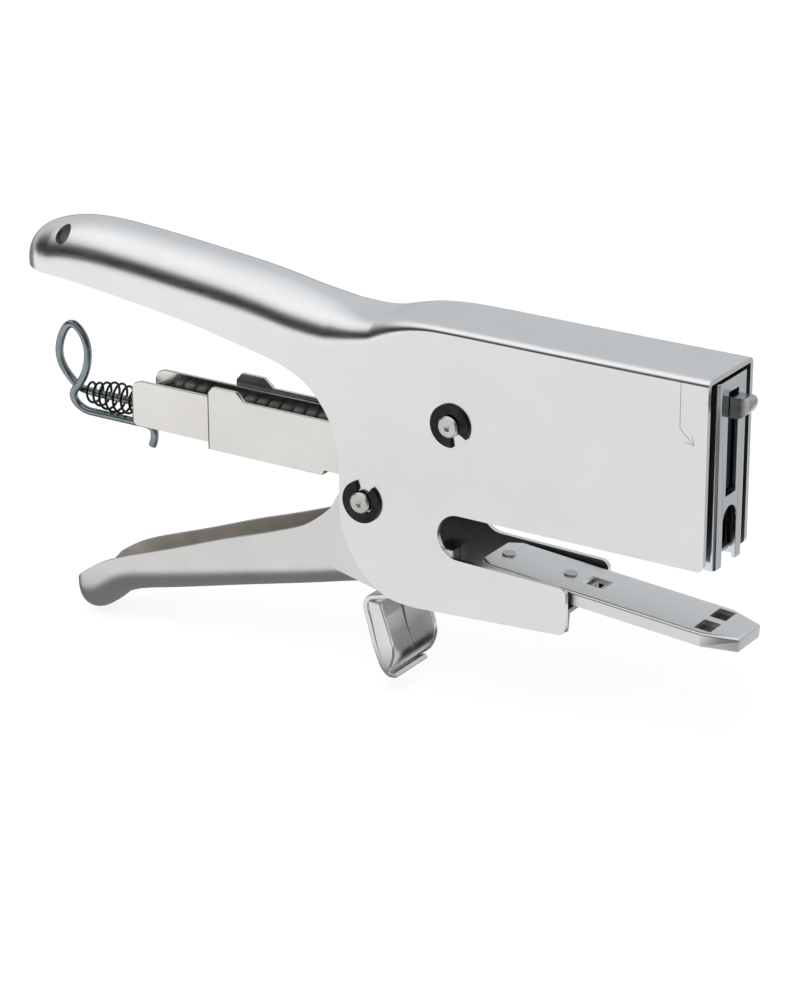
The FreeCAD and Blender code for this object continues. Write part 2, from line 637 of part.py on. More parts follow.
def lowerHandle():
    lever = leverTrough()
    for low in (-cheekOut, cheekIn):
        lever = lever.fuse(slab(cheekOutline(), low, low + wall))
    lever = lever.removeSplitter()
    bore = size["pinDiameter"] / 2 + size["pinClearance"]
    lever = lever.cut(Part.makeCylinder(bore, 3 * half, Vector(0, -1.5 * half, 0), Vector(0, 1, 0)))
    rivet = size["noseRivet"] / 2 + size["pinClearance"]
    at = Vector(noseRivetX, -1.5 * half, size["noseLow"] + size["noseHeight"] / 2)
    return lever.cut(Part.makeCylinder(rivet, 3 * half, at, Vector(0, 1, 0)))


noseRivetX = size["leverFront"] - size["noseRearward"] / 2
feature("lower_handle", lowerHandle())


def driveNose():
    """Block between the arms with a tongue that ends in a rounded nose."""
    low = size["noseLow"]
    high = low + size["noseHeight"]
    tip = size["noseTip"]
    back = size["leverFront"] - size["noseRearward"]
    block = Part.makeBox(size["noseRearward"], 2 * cheekIn, high - low, Vector(back, -cheekIn, low))
    small = 1.2
    large = size["noseHeight"] - small
    edges = [line((back, 0, low), (tip - large, 0, low))]
    edges.append(around((tip - large, 0, low), (tip - 0.293 * large, 0, low + 0.293 * large), (tip, 0, low + large)))
    edges.append(around((tip, 0, low + large), (tip - 0.293 * small, 0, high - 0.293 * small), (tip - small, 0, high)))
    edges.append(line((tip - small, 0, high), (back, 0, high)))
    edges.append(line((back, 0, high), (back, 0, low)))
    nose = block.fuse(slab(edges, -size["noseWidth"] / 2, size["noseWidth"] / 2)).removeSplitter()
    bore = size["noseRivet"] / 2 + size["pinClearance"]
    at = Vector(noseRivetX, -2 * half, (low + high) / 2)
    return nose.cut(Part.makeCylinder(bore, 4 * half, at, Vector(0, 1, 0)))


feature("drive_nose", driveNose())

NOSE_MID = "Sizes.noseLow + Sizes.noseHeight / 2"
NOSE_RIVET_X = "Sizes.leverFront - Sizes.noseRearward / 2"
cheek = "Sizes.leverWidth / 2"
rivetShank = cylinder("nose_rivet_shank", "Sizes.noseRivet / 2", "-(%s)" % cheek, cheek, NOSE_RIVET_X, NOSE_MID)
rivetHeads = [cylinder("nose_rivet_near", "Sizes.noseRivet * 0.8", "-(%s) - 0.25" % cheek, "-(%s)" % cheek,
                       NOSE_RIVET_X, NOSE_MID),
              cylinder("nose_rivet_far", "Sizes.noseRivet * 0.8", cheek, "(%s) + 0.25" % cheek,
                       NOSE_RIVET_X, NOSE_MID)]
finish(fuse("nose_rivet", [rivetShank] + rivetHeads), "nose_rivet")

# ---------------------------------------------------------------- magazine
OUT = "Sizes.magazineWidth / 2"
GUIDE_REAR = "(Sizes.guideFront - Sizes.guideDepth)"
EAR_TOP = "(Sizes.magazineTop + Sizes.earHeight)"
EAR_END = "(Sizes.magazineRear + Sizes.earLength)"
NOTCH = "(Sizes.magazineBottom + Sizes.notchHeight)"

channel = doc.addObject("PartDesign::Body", "MagazineChannel")
side = (
    ("Sizes.magazineRear", "Sizes.magazineBottom"),
    ("Sizes.notchRear", "Sizes.magazineBottom"),
    ("Sizes.notchRear + 0.5", NOTCH),
    ("-Sizes.hangerRadius", NOTCH),
    ("-Sizes.hangerRadius", "-Sizes.hangerRadius * 0.4"),
    ("-Sizes.hangerRadius * 0.4", "-Sizes.hangerRadius"),
    ("Sizes.hangerRadius * 0.4", "-Sizes.hangerRadius"),
    ("Sizes.hangerRadius", "-Sizes.hangerRadius * 0.4"),
    ("Sizes.hangerRadius", NOTCH),
    ("Sizes.notchFront", NOTCH),
    ("Sizes.notchFront", "Sizes.magazineBottom"),
    (GUIDE_REAR, "Sizes.magazineBottom"),
    (GUIDE_REAR, "Sizes.magazineTop"),
    (EAR_END + " + 2.4", "Sizes.magazineTop"),
    (EAR_END, EAR_TOP),
    ("Sizes.magazineRear + 1.5", EAR_TOP),
    ("Sizes.magazineRear", EAR_TOP + " - 1.8"),
)
extrude(channel, "Pad", "ChannelSides", sketch(channel, "XZ_Plane", "ChannelSide", side), "Sizes.magazineWidth")
insideCut = sketch(channel, "YZ_Plane", "ChannelInside",
                   rectangle("-" + EAR_IN, "Sizes.magazineBottom + Sizes.magazineWall", EAR_IN, EAR_TOP + " + 5"))
extrude(channel, "Pocket", "ChannelHollow", insideCut, "400")
floorCut = sketch(channel, "XZ_Plane", "ChannelNotch",
                  rectangle("Sizes.notchRear", "-Sizes.hangerRadius - 1", "Sizes.notchFront",
                            "Sizes.magazineBottom + Sizes.magazineWall + 0.01"))
extrude(channel, "Pocket", "FloorNotch", floorCut, "2 * " + EAR_IN)
tongue = sketch(channel, "XY_Plane", "FloorTongueOutline",
                rectangle(GUIDE_REAR, "-" + EAR_IN + " + Sizes.slidingGap",
                          "Sizes.guideFront - Sizes.magazineWall - Sizes.bladeThickness - 2 * Sizes.slidingGap",
                          EAR_IN + " - Sizes.slidingGap"), "Sizes.magazineBottom")
extrude(channel, "Pad", "FloorTongue", tongue, "Sizes.magazineWall", both=False)
pivot = disc(channel, "XZ_Plane", "ChannelPivot", "0", "0", PIN + " + Sizes.pinClearance")
extrude(channel, "Pocket", "PivotBore", pivot, "60")
finish(channel, "magazine_channel")

guide = doc.addObject("PartDesign::Body", "FrontGuide")
guidePlan = (
    (GUIDE_REAR, "-" + OUT), ("Sizes.guideFront", "-" + OUT), ("Sizes.guideFront", OUT), (GUIDE_REAR, OUT),
    (GUIDE_REAR, EAR_IN), ("Sizes.guideFront - Sizes.magazineWall", EAR_IN),
    ("Sizes.guideFront - Sizes.magazineWall", "-" + EAR_IN), (GUIDE_REAR, "-" + EAR_IN),
)
extrude(guide, "Pad", "GuideWalls", sketch(guide, "XY_Plane", "GuidePlan", guidePlan, "Sizes.guideBottom"),
        "Sizes.guideTop - Sizes.guideBottom", both=False)


def soften(body, name, radius, chosen):
    """Rounds the edges of a body's last feature for which chosen is true."""
    doc.recompute()
    last = body.Tip
    names = ["Edge%d" % (n + 1) for n, edge in enumerate(last.Shape.Edges) if chosen(edge)]
    rounding = body.newObject("PartDesign::Fillet", name)
    rounding.Base = (last, names)
    rounding.Radius = radius


soften(guide, "GuideCorners", 1.0, lambda edge: edge.BoundBox.XMin > size["guideFront"] - 0.01
       and edge.BoundBox.YLength < 0.01)
noseSlot = sketch(guide, "YZ_Plane", "NoseSlotOutline",
                  rectangle("-Sizes.slotWidth / 2", "Sizes.slotLow", "Sizes.slotWidth / 2", "Sizes.slotTop"),
                  "Sizes.guideFront")
extrude(guide, "Pocket", "NoseSlot", noseSlot, "6")
ARCH = "(Sizes.archTop - Sizes.archWidth / 2)"
archLegs = sketch(guide, "YZ_Plane", "ArchOutline",
                  rectangle("-Sizes.archWidth / 2", "Sizes.guideBottom - 1", "Sizes.archWidth / 2", ARCH),
                  "Sizes.guideFront")
extrude(guide, "Pocket", "ArchLegs", archLegs, "6")
archCrown = disc(guide, "YZ_Plane", "ArchCrownOutline", "0", ARCH, "Sizes.archWidth / 2", "Sizes.guideFront")
extrude(guide, "Pocket", "ArchCrown", archCrown, "6")
finish(guide, "front_guide")

blade = doc.addObject("PartDesign::Body", "DriverBlade")
bladeHalf = "(%s - Sizes.slidingGap)" % EAR_IN
bladeFace = "(Sizes.guideFront - Sizes.magazineWall - Sizes.slidingGap)"
extrude(blade, "Pad", "BladePlate",
        sketch(blade, "YZ_Plane", "BladeOutline",
               rectangle("-" + bladeHalf, "Sizes.bladeLow", bladeHalf, "Sizes.bladeTop"), bladeFace),
        "Sizes.bladeThickness", both=False, backwards=True)
window = sketch(blade, "YZ_Plane", "WindowOutline",
                rectangle("-Sizes.slotWidth / 2", "Sizes.noseLow - Sizes.windowGap", "Sizes.slotWidth / 2",
                          "Sizes.noseLow + Sizes.noseHeight + Sizes.windowGap"), "Sizes.guideFront")
extrude(blade, "Pocket", "NoseWindow", window, "12")
finish(blade, "driver_blade")

rail = doc.addObject("PartDesign::Body", "StapleRail")
RAIL = "Sizes.railWidth / 2"
RAIL_IN = "(Sizes.railWidth / 2 - Sizes.railWall)"
railLow = "(Sizes.magazineBottom + Sizes.magazineWall)"
railEnd = "(Sizes.guideFront - Sizes.magazineWall - Sizes.bladeThickness - 3 * Sizes.slidingGap)"
railSide = (
    ("Sizes.notchFront + 0.5", railLow), (railEnd, railLow), (railEnd, "Sizes.railTop"),
    ("Sizes.railRear", "Sizes.railTop"), ("Sizes.railRear", railLow + " + Sizes.notchHeight + 1.2"),
    ("Sizes.notchFront + 0.5", railLow + " + Sizes.notchHeight + 1.2"),
)
extrude(rail, "Pad", "RailSides", sketch(rail, "XZ_Plane", "RailSide", railSide), "2 * (%s)" % RAIL)
railInside = sketch(rail, "YZ_Plane", "RailInside",
                    rectangle("-" + RAIL_IN, railLow + " + Sizes.railWall", RAIL_IN, "Sizes.railTop + 3"))
extrude(rail, "Pocket", "RailHollow", railInside, "400")
finish(rail, "staple_rail")

# ---------------------------------------------------------------- pull-out tray
TRAY = "(%s - Sizes.slidingGap)" % EAR_IN
tray = doc.addObject("PartDesign::Body", "InnerChannel")
extrude(tray, "Pad", "TraySides",
        sketch(tray, "XZ_Plane", "TraySide",
               (("Sizes.trayRear + 1", "Sizes.trayBottom"), ("Sizes.trayFront", "Sizes.trayBottom"),
                ("Sizes.trayFront", "Sizes.trayTop"), ("Sizes.trayRear + Sizes.trayCorner", "Sizes.trayTop"),
                ("Sizes.trayRear + 0.3 * Sizes.trayCorner", "Sizes.trayTop - 0.3 * Sizes.trayCorner"),
                ("Sizes.trayRear", "Sizes.trayTop - Sizes.trayCorner"),
                ("Sizes.trayRear", "Sizes.trayBottom + 1"))),
        "2 * " + TRAY)
trayInside = sketch(tray, "YZ_Plane", "TrayInside",
                    rectangle("-%s + Sizes.trayWall" % TRAY, "Sizes.trayBottom + Sizes.trayWall",
                              TRAY + " - Sizes.trayWall", "Sizes.trayTop + 3"))
extrude(tray, "Pocket", "TrayHollow", trayInside, "400")
finish(tray, "inner_channel")

BLOCK_REAR = "Sizes.trayRear + 1.0"
blockSolid = box("end_block_solid", (BLOCK_REAR, BLOCK_REAR + " + Sizes.blockLength"),
                 ("-%s + Sizes.trayWall" % TRAY, TRAY + " - Sizes.trayWall"),
                 ("Sizes.trayBottom + Sizes.trayWall", "Sizes.blockTop"))


def alongX(name, radius, low, high, z):
    piece = doc.addObject("Part::Cylinder", name)
    piece.Placement = Placement(Vector(), Rotation(Vector(0, 1, 0), 90))
    piece.setExpression("Radius", radius)
    piece.setExpression("Height", "(%s) - (%s)" % (high, low))
    piece.setExpression(".Placement.Base.x", low)
    piece.setExpression(".Placement.Base.z", z)
    return piece


rodHole = alongX("end_block_rod_hole", "Sizes.rodDiameter / 2 + Sizes.pinClearance", BLOCK_REAR + " - 1",
                 BLOCK_REAR + " + Sizes.blockLength + 1", "Sizes.rodZ")
wireHole = alongX("end_block_wire_hole", "Sizes.handleWire / 2 + Sizes.pinClearance", BLOCK_REAR + " - 1",
                  BLOCK_REAR + " + Sizes.blockLength + 1", "Sizes.strandHigh")
finish(cut("end_block", blockSolid, fuse("end_block_holes", [rodHole, wireHole])), "end_block")
finish(alongX("pusher_rod", "Sizes.rodDiameter / 2", BLOCK_REAR, "Sizes.rodFront", "Sizes.rodZ"), "pusher_rod",
       BLOCK_REAR, "Sizes.rodZ")


def staplePusher():
    """Saddle over the rail, with a block between the rail's sides that slides on the rod."""
    front = size["pusherFront"]
    length = size["pusherLength"]
    back = front - length
    gap = size["slidingGap"]
    reach = size["magazineWidth"] / 2 - size["magazineWall"] - gap
    railOut = size["railWidth"] / 2 + gap
    railIn = size["railWidth"] / 2 - size["railWall"] - 2 * gap
    low = size["magazineBottom"] + size["magazineWall"] + 0.6
    over = size["railTop"] + gap
    rodLow = size["rodZ"] - size["rodDiameter"] / 2 - size["pusherFloor"]
    bridge = Part.makeBox(length, 2 * reach, size["pusherPlate"], Vector(back, -reach, over))
    skirts = [Part.makeBox(length, reach - railOut, over - low, Vector(back, side, low)) for side in (-reach, railOut)]
    block = Part.makeBox(size["rodFront"] - 1.2 - back, 2 * railIn, over - rodLow, Vector(back, -railIn, rodLow))
    bore = Part.makeCylinder(size["rodDiameter"] / 2 + size["pinClearance"], 3 * length,
                             Vector(back - length, 0, size["rodZ"]), Vector(1, 0, 0))
    return bridge.multiFuse(skirts + [block]).cut(bore).removeSplitter()


feature("staple_pusher", staplePusher())


def pusherSpring():
    start = size["trayRear"] + 1.0 + size["blockLength"] + 0.5
    end = size["pusherFront"] - size["pusherLength"] - 0.5
    pitch = size["pusherPitch"]
    quarters = int(4 * (end - start) / pitch)
    radii = [size["pusherCoil"] / 2] * (quarters + 1)
    return coil((start, 0, size["rodZ"]), radii, (end - start) / quarters, size["pusherWire"])


feature("pusher_spring", pusherSpring())


def bentWire(corners, diameter):
    """A wire of straight runs and round bends; each corner is (point, bend radius), the ends have none."""
    pieces = []
    last = Vector(*corners[0][0])
    for number in range(1, len(corners)):
        corner, radius = Vector(*corners[number][0]), corners[number][1]
        arriving = (corner - Vector(*corners[number - 1][0])).normalize()
        setback = 0.0
        if radius:
            leaving = (Vector(*corners[number + 1][0]) - corner).normalize()
            turn = arriving.getAngle(leaving)
            setback = radius * math.tan(turn / 2)
        end = corner - arriving * setback
        disc_ = Part.Face(Part.Wire(Part.Circle(last, arriving, diameter / 2).toShape()))
        pieces.append(disc_.extrude(end - last))
        last = corner
        if radius:
            axis = arriving.cross(leaving).normalize()
            disc_ = Part.Face(Part.Wire(Part.Circle(end, arriving, diameter / 2).toShape()))
            pieces.append(disc_.revolve(end + axis.cross(arriving) * radius, axis, math.degrees(turn)))
            last = corner + leaving * setback
    return pieces[0].multiFuse(pieces[1:]).removeSplitter()


def wireHandle():
    """Pull loop: hook and lower strand, up and round the teardrop, back through the barrel spring."""
    low = size["strandLow"]
    high = size["strandHigh"]
    back = size["loopRear"]
    fore = size["loopFront"]
    top = size["loopTop"]
    hook = size["hookX"]
    apart = size["handleWire"] / 2 + 0.1
    return bentWire((
        ((hook - 0.9, 0, low - 5.0), 0),
        ((hook - 0.4, 0, low), 2.0),
        ((fore + 1.0, 0, low), 6.0),
        ((fore - 4.8, -apart, low), 2.2),
        ((fore + 2.6, -apart, top + 0.6), 4.2),
        ((back - 0.8, apart, top - 0.3), 3.2),
        ((back + 5.0, apart, high), 2.6),
        ((fore + 1.4, 0, high), 6.0),
        ((size["trayRear"] + 1.0 + size["blockLength"], 0, high), 0),
    ), size["handleWire"])


feature("wire_handle", wireHandle())


def barrelSpring():
    start = size["barrelRear"]
    end = size["trayRear"] + 0.6
    quarters = 28
    neck = size["barrelNeck"] / 2
    swell = size["barrelBulge"] / 2 - neck
    radii = [neck + swell * (0.5 - 0.5 * math.cos(2 * math.pi * q / quarters)) for q in range(quarters + 1)]
    return coil((start, 0, size["strandHigh"]), radii, (end - start) / quarters, size["barrelWire"])


feature("barrel_spring", barrelSpring())

# ---------------------------------------------------------------- anvil
tilt = Rotation(Vector(0, 1, 0), size["anvilTilt"])


def inclined(piece, label):
    """Lays a piece drawn flat onto the anvil's slope."""
    piece.Placement = Placement(Vector(), tilt)
    piece.setExpression(".Placement.Rotation.Angle", "Sizes.anvilTilt * 1 deg")
    piece.setExpression(".Placement.Base.x", "Sizes.anvilRear - " + originX)
    piece.setExpression(".Placement.Base.z", "Sizes.anvilRearZ - " + originZ)
    piece.Label = label
    FINISHED.append(piece)


BAR = "Sizes.anvilWidth / 2"
TIP = "Sizes.anvilTip / 2"


def barPlan(inset):
    """Plan of the anvil bar, shrunk by inset."""
    wide = "(%s - %s)" % (BAR, inset)
    narrow = "(%s - %s)" % (TIP, inset)
    tail = "(%s - 1.8 - %s)" % (BAR, inset)
    start = "(%s)" % inset
    shoulder = "Sizes.anvilLength - Sizes.anvilTaper"
    end = "Sizes.anvilLength - (%s)" % inset
    return ((start, "-" + tail), ("2.5 + " + start, "-" + wide), (shoulder, "-" + wide), (end, "-" + narrow),
            (end, narrow), (shoulder, wide), ("2.5 + " + start, wide), (start, tail))


bar = doc.addObject("PartDesign::Body", "AnvilBar")
extrude(bar, "Pad", "BarBlank", sketch(bar, "XY_Plane", "BarPlan", barPlan("0")), "Sizes.anvilDepth",
        both=False, backwards=True)
soften(bar, "BarEdges", 0.7, lambda edge: edge.BoundBox.ZMin > -0.01 and edge.CenterOfMass.x > 0.1)
hollow = sketch(bar, "XY_Plane", "BarHollowPlan", barPlan("Sizes.anvilWall"), "-Sizes.anvilDepth")
extrude(bar, "Pocket", "BarHollow", hollow, "Sizes.anvilDepth - Sizes.anvilWall", both=False, backwards=True)


def pocketSpan(side):
    near = "%s * Sizes.clinchBridge / 2" % side
    far = "%s * (Sizes.clinchBridge / 2 + Sizes.clinchWidth)" % side
    low, high = (near, far) if side == "1" else (far, near)
    return rectangle("Sizes.clinchAt - Sizes.clinchLength / 2", low, "Sizes.clinchAt + Sizes.clinchLength / 2", high)


for name, across in (("Near", "-1"), ("Far", "1")):
    opening = sketch(bar, "XY_Plane", "ClinchWindow" + name, pocketSpan(across), "1")
    extrude(bar, "Pocket", "ClinchOpening" + name, opening, "20")
latch = sketch(bar, "XY_Plane", "BarWindowPlan",
               rectangle("Sizes.latchWindowAt - Sizes.latchWindow / 2", "-2.2", "Sizes.latchWindowAt + Sizes.latchWindow / 2",
                         "2.2"), "1")
extrude(bar, "Pocket", "BarWindow", latch, "20")
for name, at in (("Rear", "Sizes.rivetRearAt"), ("Front", "Sizes.rivetFrontAt")):
    hole = disc(bar, "XY_Plane", "RivetHole" + name, at, "0", "Sizes.rivetDiameter / 2 + Sizes.pinClearance", "1")
    extrude(bar, "Pocket", "RivetBore" + name, hole, "20")
inclined(bar, "anvil_bar")

plate = doc.addObject("PartDesign::Body", "ClinchPlate")
plateHalf = "(%s - Sizes.anvilWall - 0.4)" % BAR
extrude(plate, "Pad", "PlateBlank",
        sketch(plate, "XY_Plane", "PlatePlan",
               (("Sizes.clinchAt - 4.2", "-" + plateHalf), ("Sizes.clinchAt + 1", "-" + plateHalf),
                ("Sizes.clinchAt + 2.4", "-%s + 0.7" % plateHalf), ("Sizes.clinchAt + 2.4", plateHalf + " - 0.7"),
                ("Sizes.clinchAt + 1", plateHalf), ("Sizes.clinchAt - 4.2", plateHalf)),
               "-Sizes.anvilWall"), "2.2", both=False, backwards=True)
boss = disc(plate, "XY_Plane", "PlateBossOutline", "Sizes.clinchAt - 1", "0", "3.0", "-Sizes.anvilWall - 2.2")
extrude(plate, "Pad", "PlateBoss", boss, "1.3", both=False, backwards=True)
for name, across in (("Near", "-1"), ("Far", "1")):
    groove = sketch(plate, "XY_Plane", "ClinchGroove" + name, pocketSpan(across), "-Sizes.anvilWall")
    extrude(plate, "Pocket", "ClinchFloor" + name, groove, "Sizes.clinchDepth", both=False)
inclined(plate, "clinch_plate")

support = doc.addObject("PartDesign::Body", "AnvilSupport")
crownHalf = "(%s - 1.8 - Sizes.anvilWall - 0.15)" % BAR
ledge = "(-Sizes.anvilDepth - 0.9)"
foot = "-Sizes.supportDepth"
supportSection = (
    (INNER, foot), (INNER, ledge), (crownHalf, ledge), (crownHalf, "-Sizes.anvilWall"),
    ("-" + crownHalf, "-Sizes.anvilWall"), ("-" + crownHalf, ledge), ("-" + INNER, ledge), ("-" + INNER, foot),
    ("-%s + 1.2" % INNER, foot), ("-%s + 1.2" % INNER, ledge + " - 1.2"),
    ("-%s + 1.2" % crownHalf, ledge + " - 1.2"), ("-%s + 1.2" % crownHalf, "-Sizes.anvilWall - 1.2"),
    (crownHalf + " - 1.2", "-Sizes.anvilWall - 1.2"), (crownHalf + " - 1.2", ledge + " - 1.2"),
    (INNER + " - 1.2", ledge + " - 1.2"), (INNER + " - 1.2", foot),
)
extrude(support, "Pad", "SupportHat", sketch(support, "YZ_Plane", "SupportSection", supportSection, "1.4"),
        "Sizes.supportLength", both=False)
for name, at in (("Rear", "Sizes.rivetRearAt"), ("Front", "Sizes.rivetFrontAt")):
    hole = disc(support, "XY_Plane", "SupportHole" + name, at, "0", "Sizes.rivetDiameter / 2 + Sizes.pinClearance", "1")
    extrude(support, "Pocket", "SupportBore" + name, hole, "20")
inclined(support, "anvil_support")


def anvilRivets():
    """Two rivets with low round heads, set in the bar and its support."""
    radius = size["rivetDiameter"] / 2
    grip = 2 * size["anvilWall"]
    slope = Placement(Vector(size["anvilRear"], 0, size["anvilRearZ"]), tilt)
    rivets = []
    for at in (size["rivetRearAt"], size["rivetFrontAt"]):
        shank = Part.makeCylinder(radius, grip + 0.35, Vector(at, 0, -grip))
        head = Part.makeCylinder(radius * 1.3, 1.0, Vector(at, 0, -grip - 1.0))
        rivet = shank.fuse(head)
        rivet.Placement = slope
        rivets.append(rivet)
    return Part.makeCompound(rivets)


feature("anvil_rivets", anvilRivets())

# ---------------------------------------------------------------- finger guard


def polygon(corners):
    """Straight edges round a list of (x, z) corners."""
    points = [(x, 0, z) for x, z in corners]
    return [line(start, end) for start, end in zip(points, points[1:] + points[:1])]


def fingerGuard():
    """A bent scoop: a strap into the body, a leaning rear wall, a curled foot and two cheeks."""
    top = size["guardTop"]
    low = size["guardLow"]
    back = size["guardRear"]
    reach = size["guardReach"]
    lean = 0.30 * (top - low)
    width = size["guardWidth"] / 2
    foot = (back + lean, low)
    rise = size["guardRise"]
    end = back + size["guardStrap"]
    curl = (back + lean + size["guardCurl"], low + 0.6)
    strap = slab(polygon(((back, top), (end, top + rise), (end, top + rise - wall), (back + 0.4, top - wall))),
                 -width, width)
    web = slab(polygon(((back, top), foot, curl, (curl[0] - 0.2, curl[1] + wall), (foot[0] + 1.5, low + 2.4),
                        (back + wall + 0.4, top - wall * 0.5))), -width, width)
    near = slab(polygon(((back, top), foot, (foot[0] + 1.8, low + 3.0), (foot[0] + 1.9, low + size["guardLeaf"]),
                         (back + 3.4, top))), -width, wall - width)
    outline = [line((back, 0, top), (foot[0], 0, low))]
    outline.append(curve(((foot[0], 0, low), (reach - 2.0, 0, low + 2.4), (reach, 0, low + 7.5),
                          (reach - 1.2, 0, top - 6.0)), start=(1, 0, 0.1)))
    outline.append(line((reach - 1.2, 0, top - 6.0), (reach - 1.2, 0, top + 2.4)))
    outline.append(line((reach - 1.2, 0, top + 2.4), (back, 0, top)))
    guard = web.fuse(strap).fuse(near).fuse(slab(outline, width - wall, width))
    begin = back + size["guardEar"]
    ear = polygon(((begin, top + size["guardEarLow"]), (end, top + size["guardEarFoot"]),
                   (end, top + size["guardEarTop"]), (begin, top + size["guardEarTop"])))
    flush = inner - 0.05
    for nearY, farY in ((-flush, wall - width), (width - wall, flush)):
        guard = guard.fuse(slab(ear, nearY, farY))
    return guard.removeSplitter()


feature("finger_guard", fingerGuard())

# ---------------------------------------------------------------- check and export
doc.recompute()
for item in doc.Objects:
    if "Invalid" in item.State or "Error" in item.State:
        raise RuntimeError("%s is %s" % (item.Name, item.State))
os.makedirs("parts", exist_ok=True)
for piece in FINISHED:
    shape = piece.Shape
    if shape.isNull() or not shape.isValid():
        raise RuntimeError("%s has no valid shape" % piece.Label)
for piece in FINISHED:
    piece.Shape.exportStep("parts/%s.step" % piece.Label)
    box_ = piece.Shape.BoundBox
    print("%-18s solids %d volume %9.1f  x %.1f..%.1f  y %.1f..%.1f  z %.1f..%.1f"
          % (piece.Label, len(piece.Shape.Solids), piece.Shape.Volume, box_.XMin, box_.XMax, box_.YMin,
             box_.YMax, box_.ZMin, box_.ZMax))
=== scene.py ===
import json
import math
import bmesh
import bpy
import numpy as np
from mathutils import Matrix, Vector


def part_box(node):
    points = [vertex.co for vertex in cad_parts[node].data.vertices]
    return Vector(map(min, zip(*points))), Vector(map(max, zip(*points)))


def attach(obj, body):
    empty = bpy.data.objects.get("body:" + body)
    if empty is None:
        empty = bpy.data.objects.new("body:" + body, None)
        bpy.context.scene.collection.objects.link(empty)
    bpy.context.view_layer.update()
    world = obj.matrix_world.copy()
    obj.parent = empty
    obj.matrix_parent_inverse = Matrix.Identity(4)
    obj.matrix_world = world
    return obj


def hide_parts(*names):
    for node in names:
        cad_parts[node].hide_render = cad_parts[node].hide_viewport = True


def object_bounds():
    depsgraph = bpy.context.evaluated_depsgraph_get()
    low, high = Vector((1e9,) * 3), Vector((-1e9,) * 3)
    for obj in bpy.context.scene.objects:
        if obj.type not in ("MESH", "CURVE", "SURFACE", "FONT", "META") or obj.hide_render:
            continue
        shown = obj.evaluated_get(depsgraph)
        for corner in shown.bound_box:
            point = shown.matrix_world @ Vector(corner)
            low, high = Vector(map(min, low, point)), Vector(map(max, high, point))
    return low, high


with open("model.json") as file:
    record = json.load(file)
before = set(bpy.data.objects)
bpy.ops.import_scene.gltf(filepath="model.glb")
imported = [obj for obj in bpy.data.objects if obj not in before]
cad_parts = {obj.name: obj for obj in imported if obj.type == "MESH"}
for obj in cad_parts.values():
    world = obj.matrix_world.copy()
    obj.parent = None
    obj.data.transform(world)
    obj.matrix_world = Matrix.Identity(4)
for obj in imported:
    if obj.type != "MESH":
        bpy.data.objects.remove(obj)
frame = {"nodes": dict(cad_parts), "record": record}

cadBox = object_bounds()
nodes = frame["nodes"]
print("frame loaded:", len(nodes), "nodes")

# Where the lever pin's axis stands in the model; most shapes below are worked out from it, in mm.
pinLow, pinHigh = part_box("pivot_bush")
pinAxis = np.array([(pinLow[0] + pinHigh[0]) / 2, 0.0, (pinLow[2] + pinHigh[2]) / 2])


def place(points):
    # millimetres from the lever pin to metres in the model's own frame
    return np.asarray(points, float) / 1000.0 + pinAxis


def smoothByAngle(obj, degrees):
    # faces that meet at less than this angle shade as one
    obj.data.set_sharp_from_angle(angle=math.radians(degrees))


def addMesh(name, points, faces, material, smooth=40):
    # points in mm from the pin, faces as lists of indices
    mesh = bpy.data.meshes.new(name)
    mesh.from_pydata([tuple(p) for p in place(points)], [], [tuple(int(i) for i in f) for f in faces])
    mesh.validate()
    obj = bpy.data.objects.new(name, mesh)
    bpy.context.scene.collection.objects.link(obj)
    mesh.materials.append(material)
    mesh.shade_smooth()
    if smooth:
        smoothByAngle(obj, smooth)
    return obj


def gridFaces(rows, columns, closeColumns=False):
    # every cell of a rows x columns grid as a quad; closed columns join the last to the first
    i, j = np.meshgrid(np.arange(rows - 1), np.arange(columns - (not closeColumns)), indexing="ij")
    ni, nj = i + 1, (j + 1) % columns
    return np.stack([i * columns + j, i * columns + nj, ni * columns + nj, ni * columns + j], -1).reshape(-1, 4)


def weld(obj, distance=1e-6):
    # points in one place become one, faces without area go, and the rest face outward
    bm = bmesh.new()
    bm.from_mesh(obj.data)
    bmesh.ops.remove_doubles(bm, verts=bm.verts, dist=distance)
    bmesh.ops.dissolve_degenerate(bm, edges=bm.edges, dist=distance)
    bmesh.ops.recalc_face_normals(bm, faces=bm.faces)
    bm.to_mesh(obj.data)
    bm.free()


def bevel(obj, width, segments=2, angle=35):
    # edges sharper than the angle are broken by this width, in mm
    mod = obj.modifiers.new("EdgeBreak", "BEVEL")
    mod.width = width / 1000.0
    mod.segments = segments
    mod.limit_method = "ANGLE"
    mod.angle_limit = math.radians(angle)
    mod.use_clamp_overlap = True
    mod.harden_normals = True


def splineThrough(points, count):
    # natural cubic spline through the points over their chord length, resampled by distance
    p = np.asarray(points, float)
    t = np.concatenate([[0], np.cumsum(np.linalg.norm(np.diff(p, axis=0), axis=1))])
    n, h = len(p), np.diff(t)
    m = np.eye(n)
    rhs = np.zeros_like(p)
    for k in range(1, n - 1):
        m[k, k - 1:k + 2] = h[k - 1], 2 * (h[k - 1] + h[k]), h[k]
        rhs[k] = 6 * ((p[k + 1] - p[k]) / h[k] - (p[k] - p[k - 1]) / h[k - 1])
    curve = np.linalg.solve(m, rhs)
    fine = np.linspace(0, t[-1], 4000)
    k = np.clip(np.searchsorted(t, fine, side="right") - 1, 0, n - 2)
    a, b, w = (t[k + 1] - fine)[:, None], (fine - t[k])[:, None], h[k][:, None]
    line = (curve[k] * a ** 3 + curve[k + 1] * b ** 3) / (6 * w) + (p[k] / w - curve[k] * w / 6) * a
    line += (p[k + 1] / w - curve[k + 1] * w / 6) * b
    along = np.concatenate([[0], np.cumsum(np.linalg.norm(np.diff(line, axis=0), axis=1))])
    even = np.linspace(0, along[-1], count)
    return np.stack([np.interp(even, along, line[:, c]) for c in range(p.shape[1])], -1)


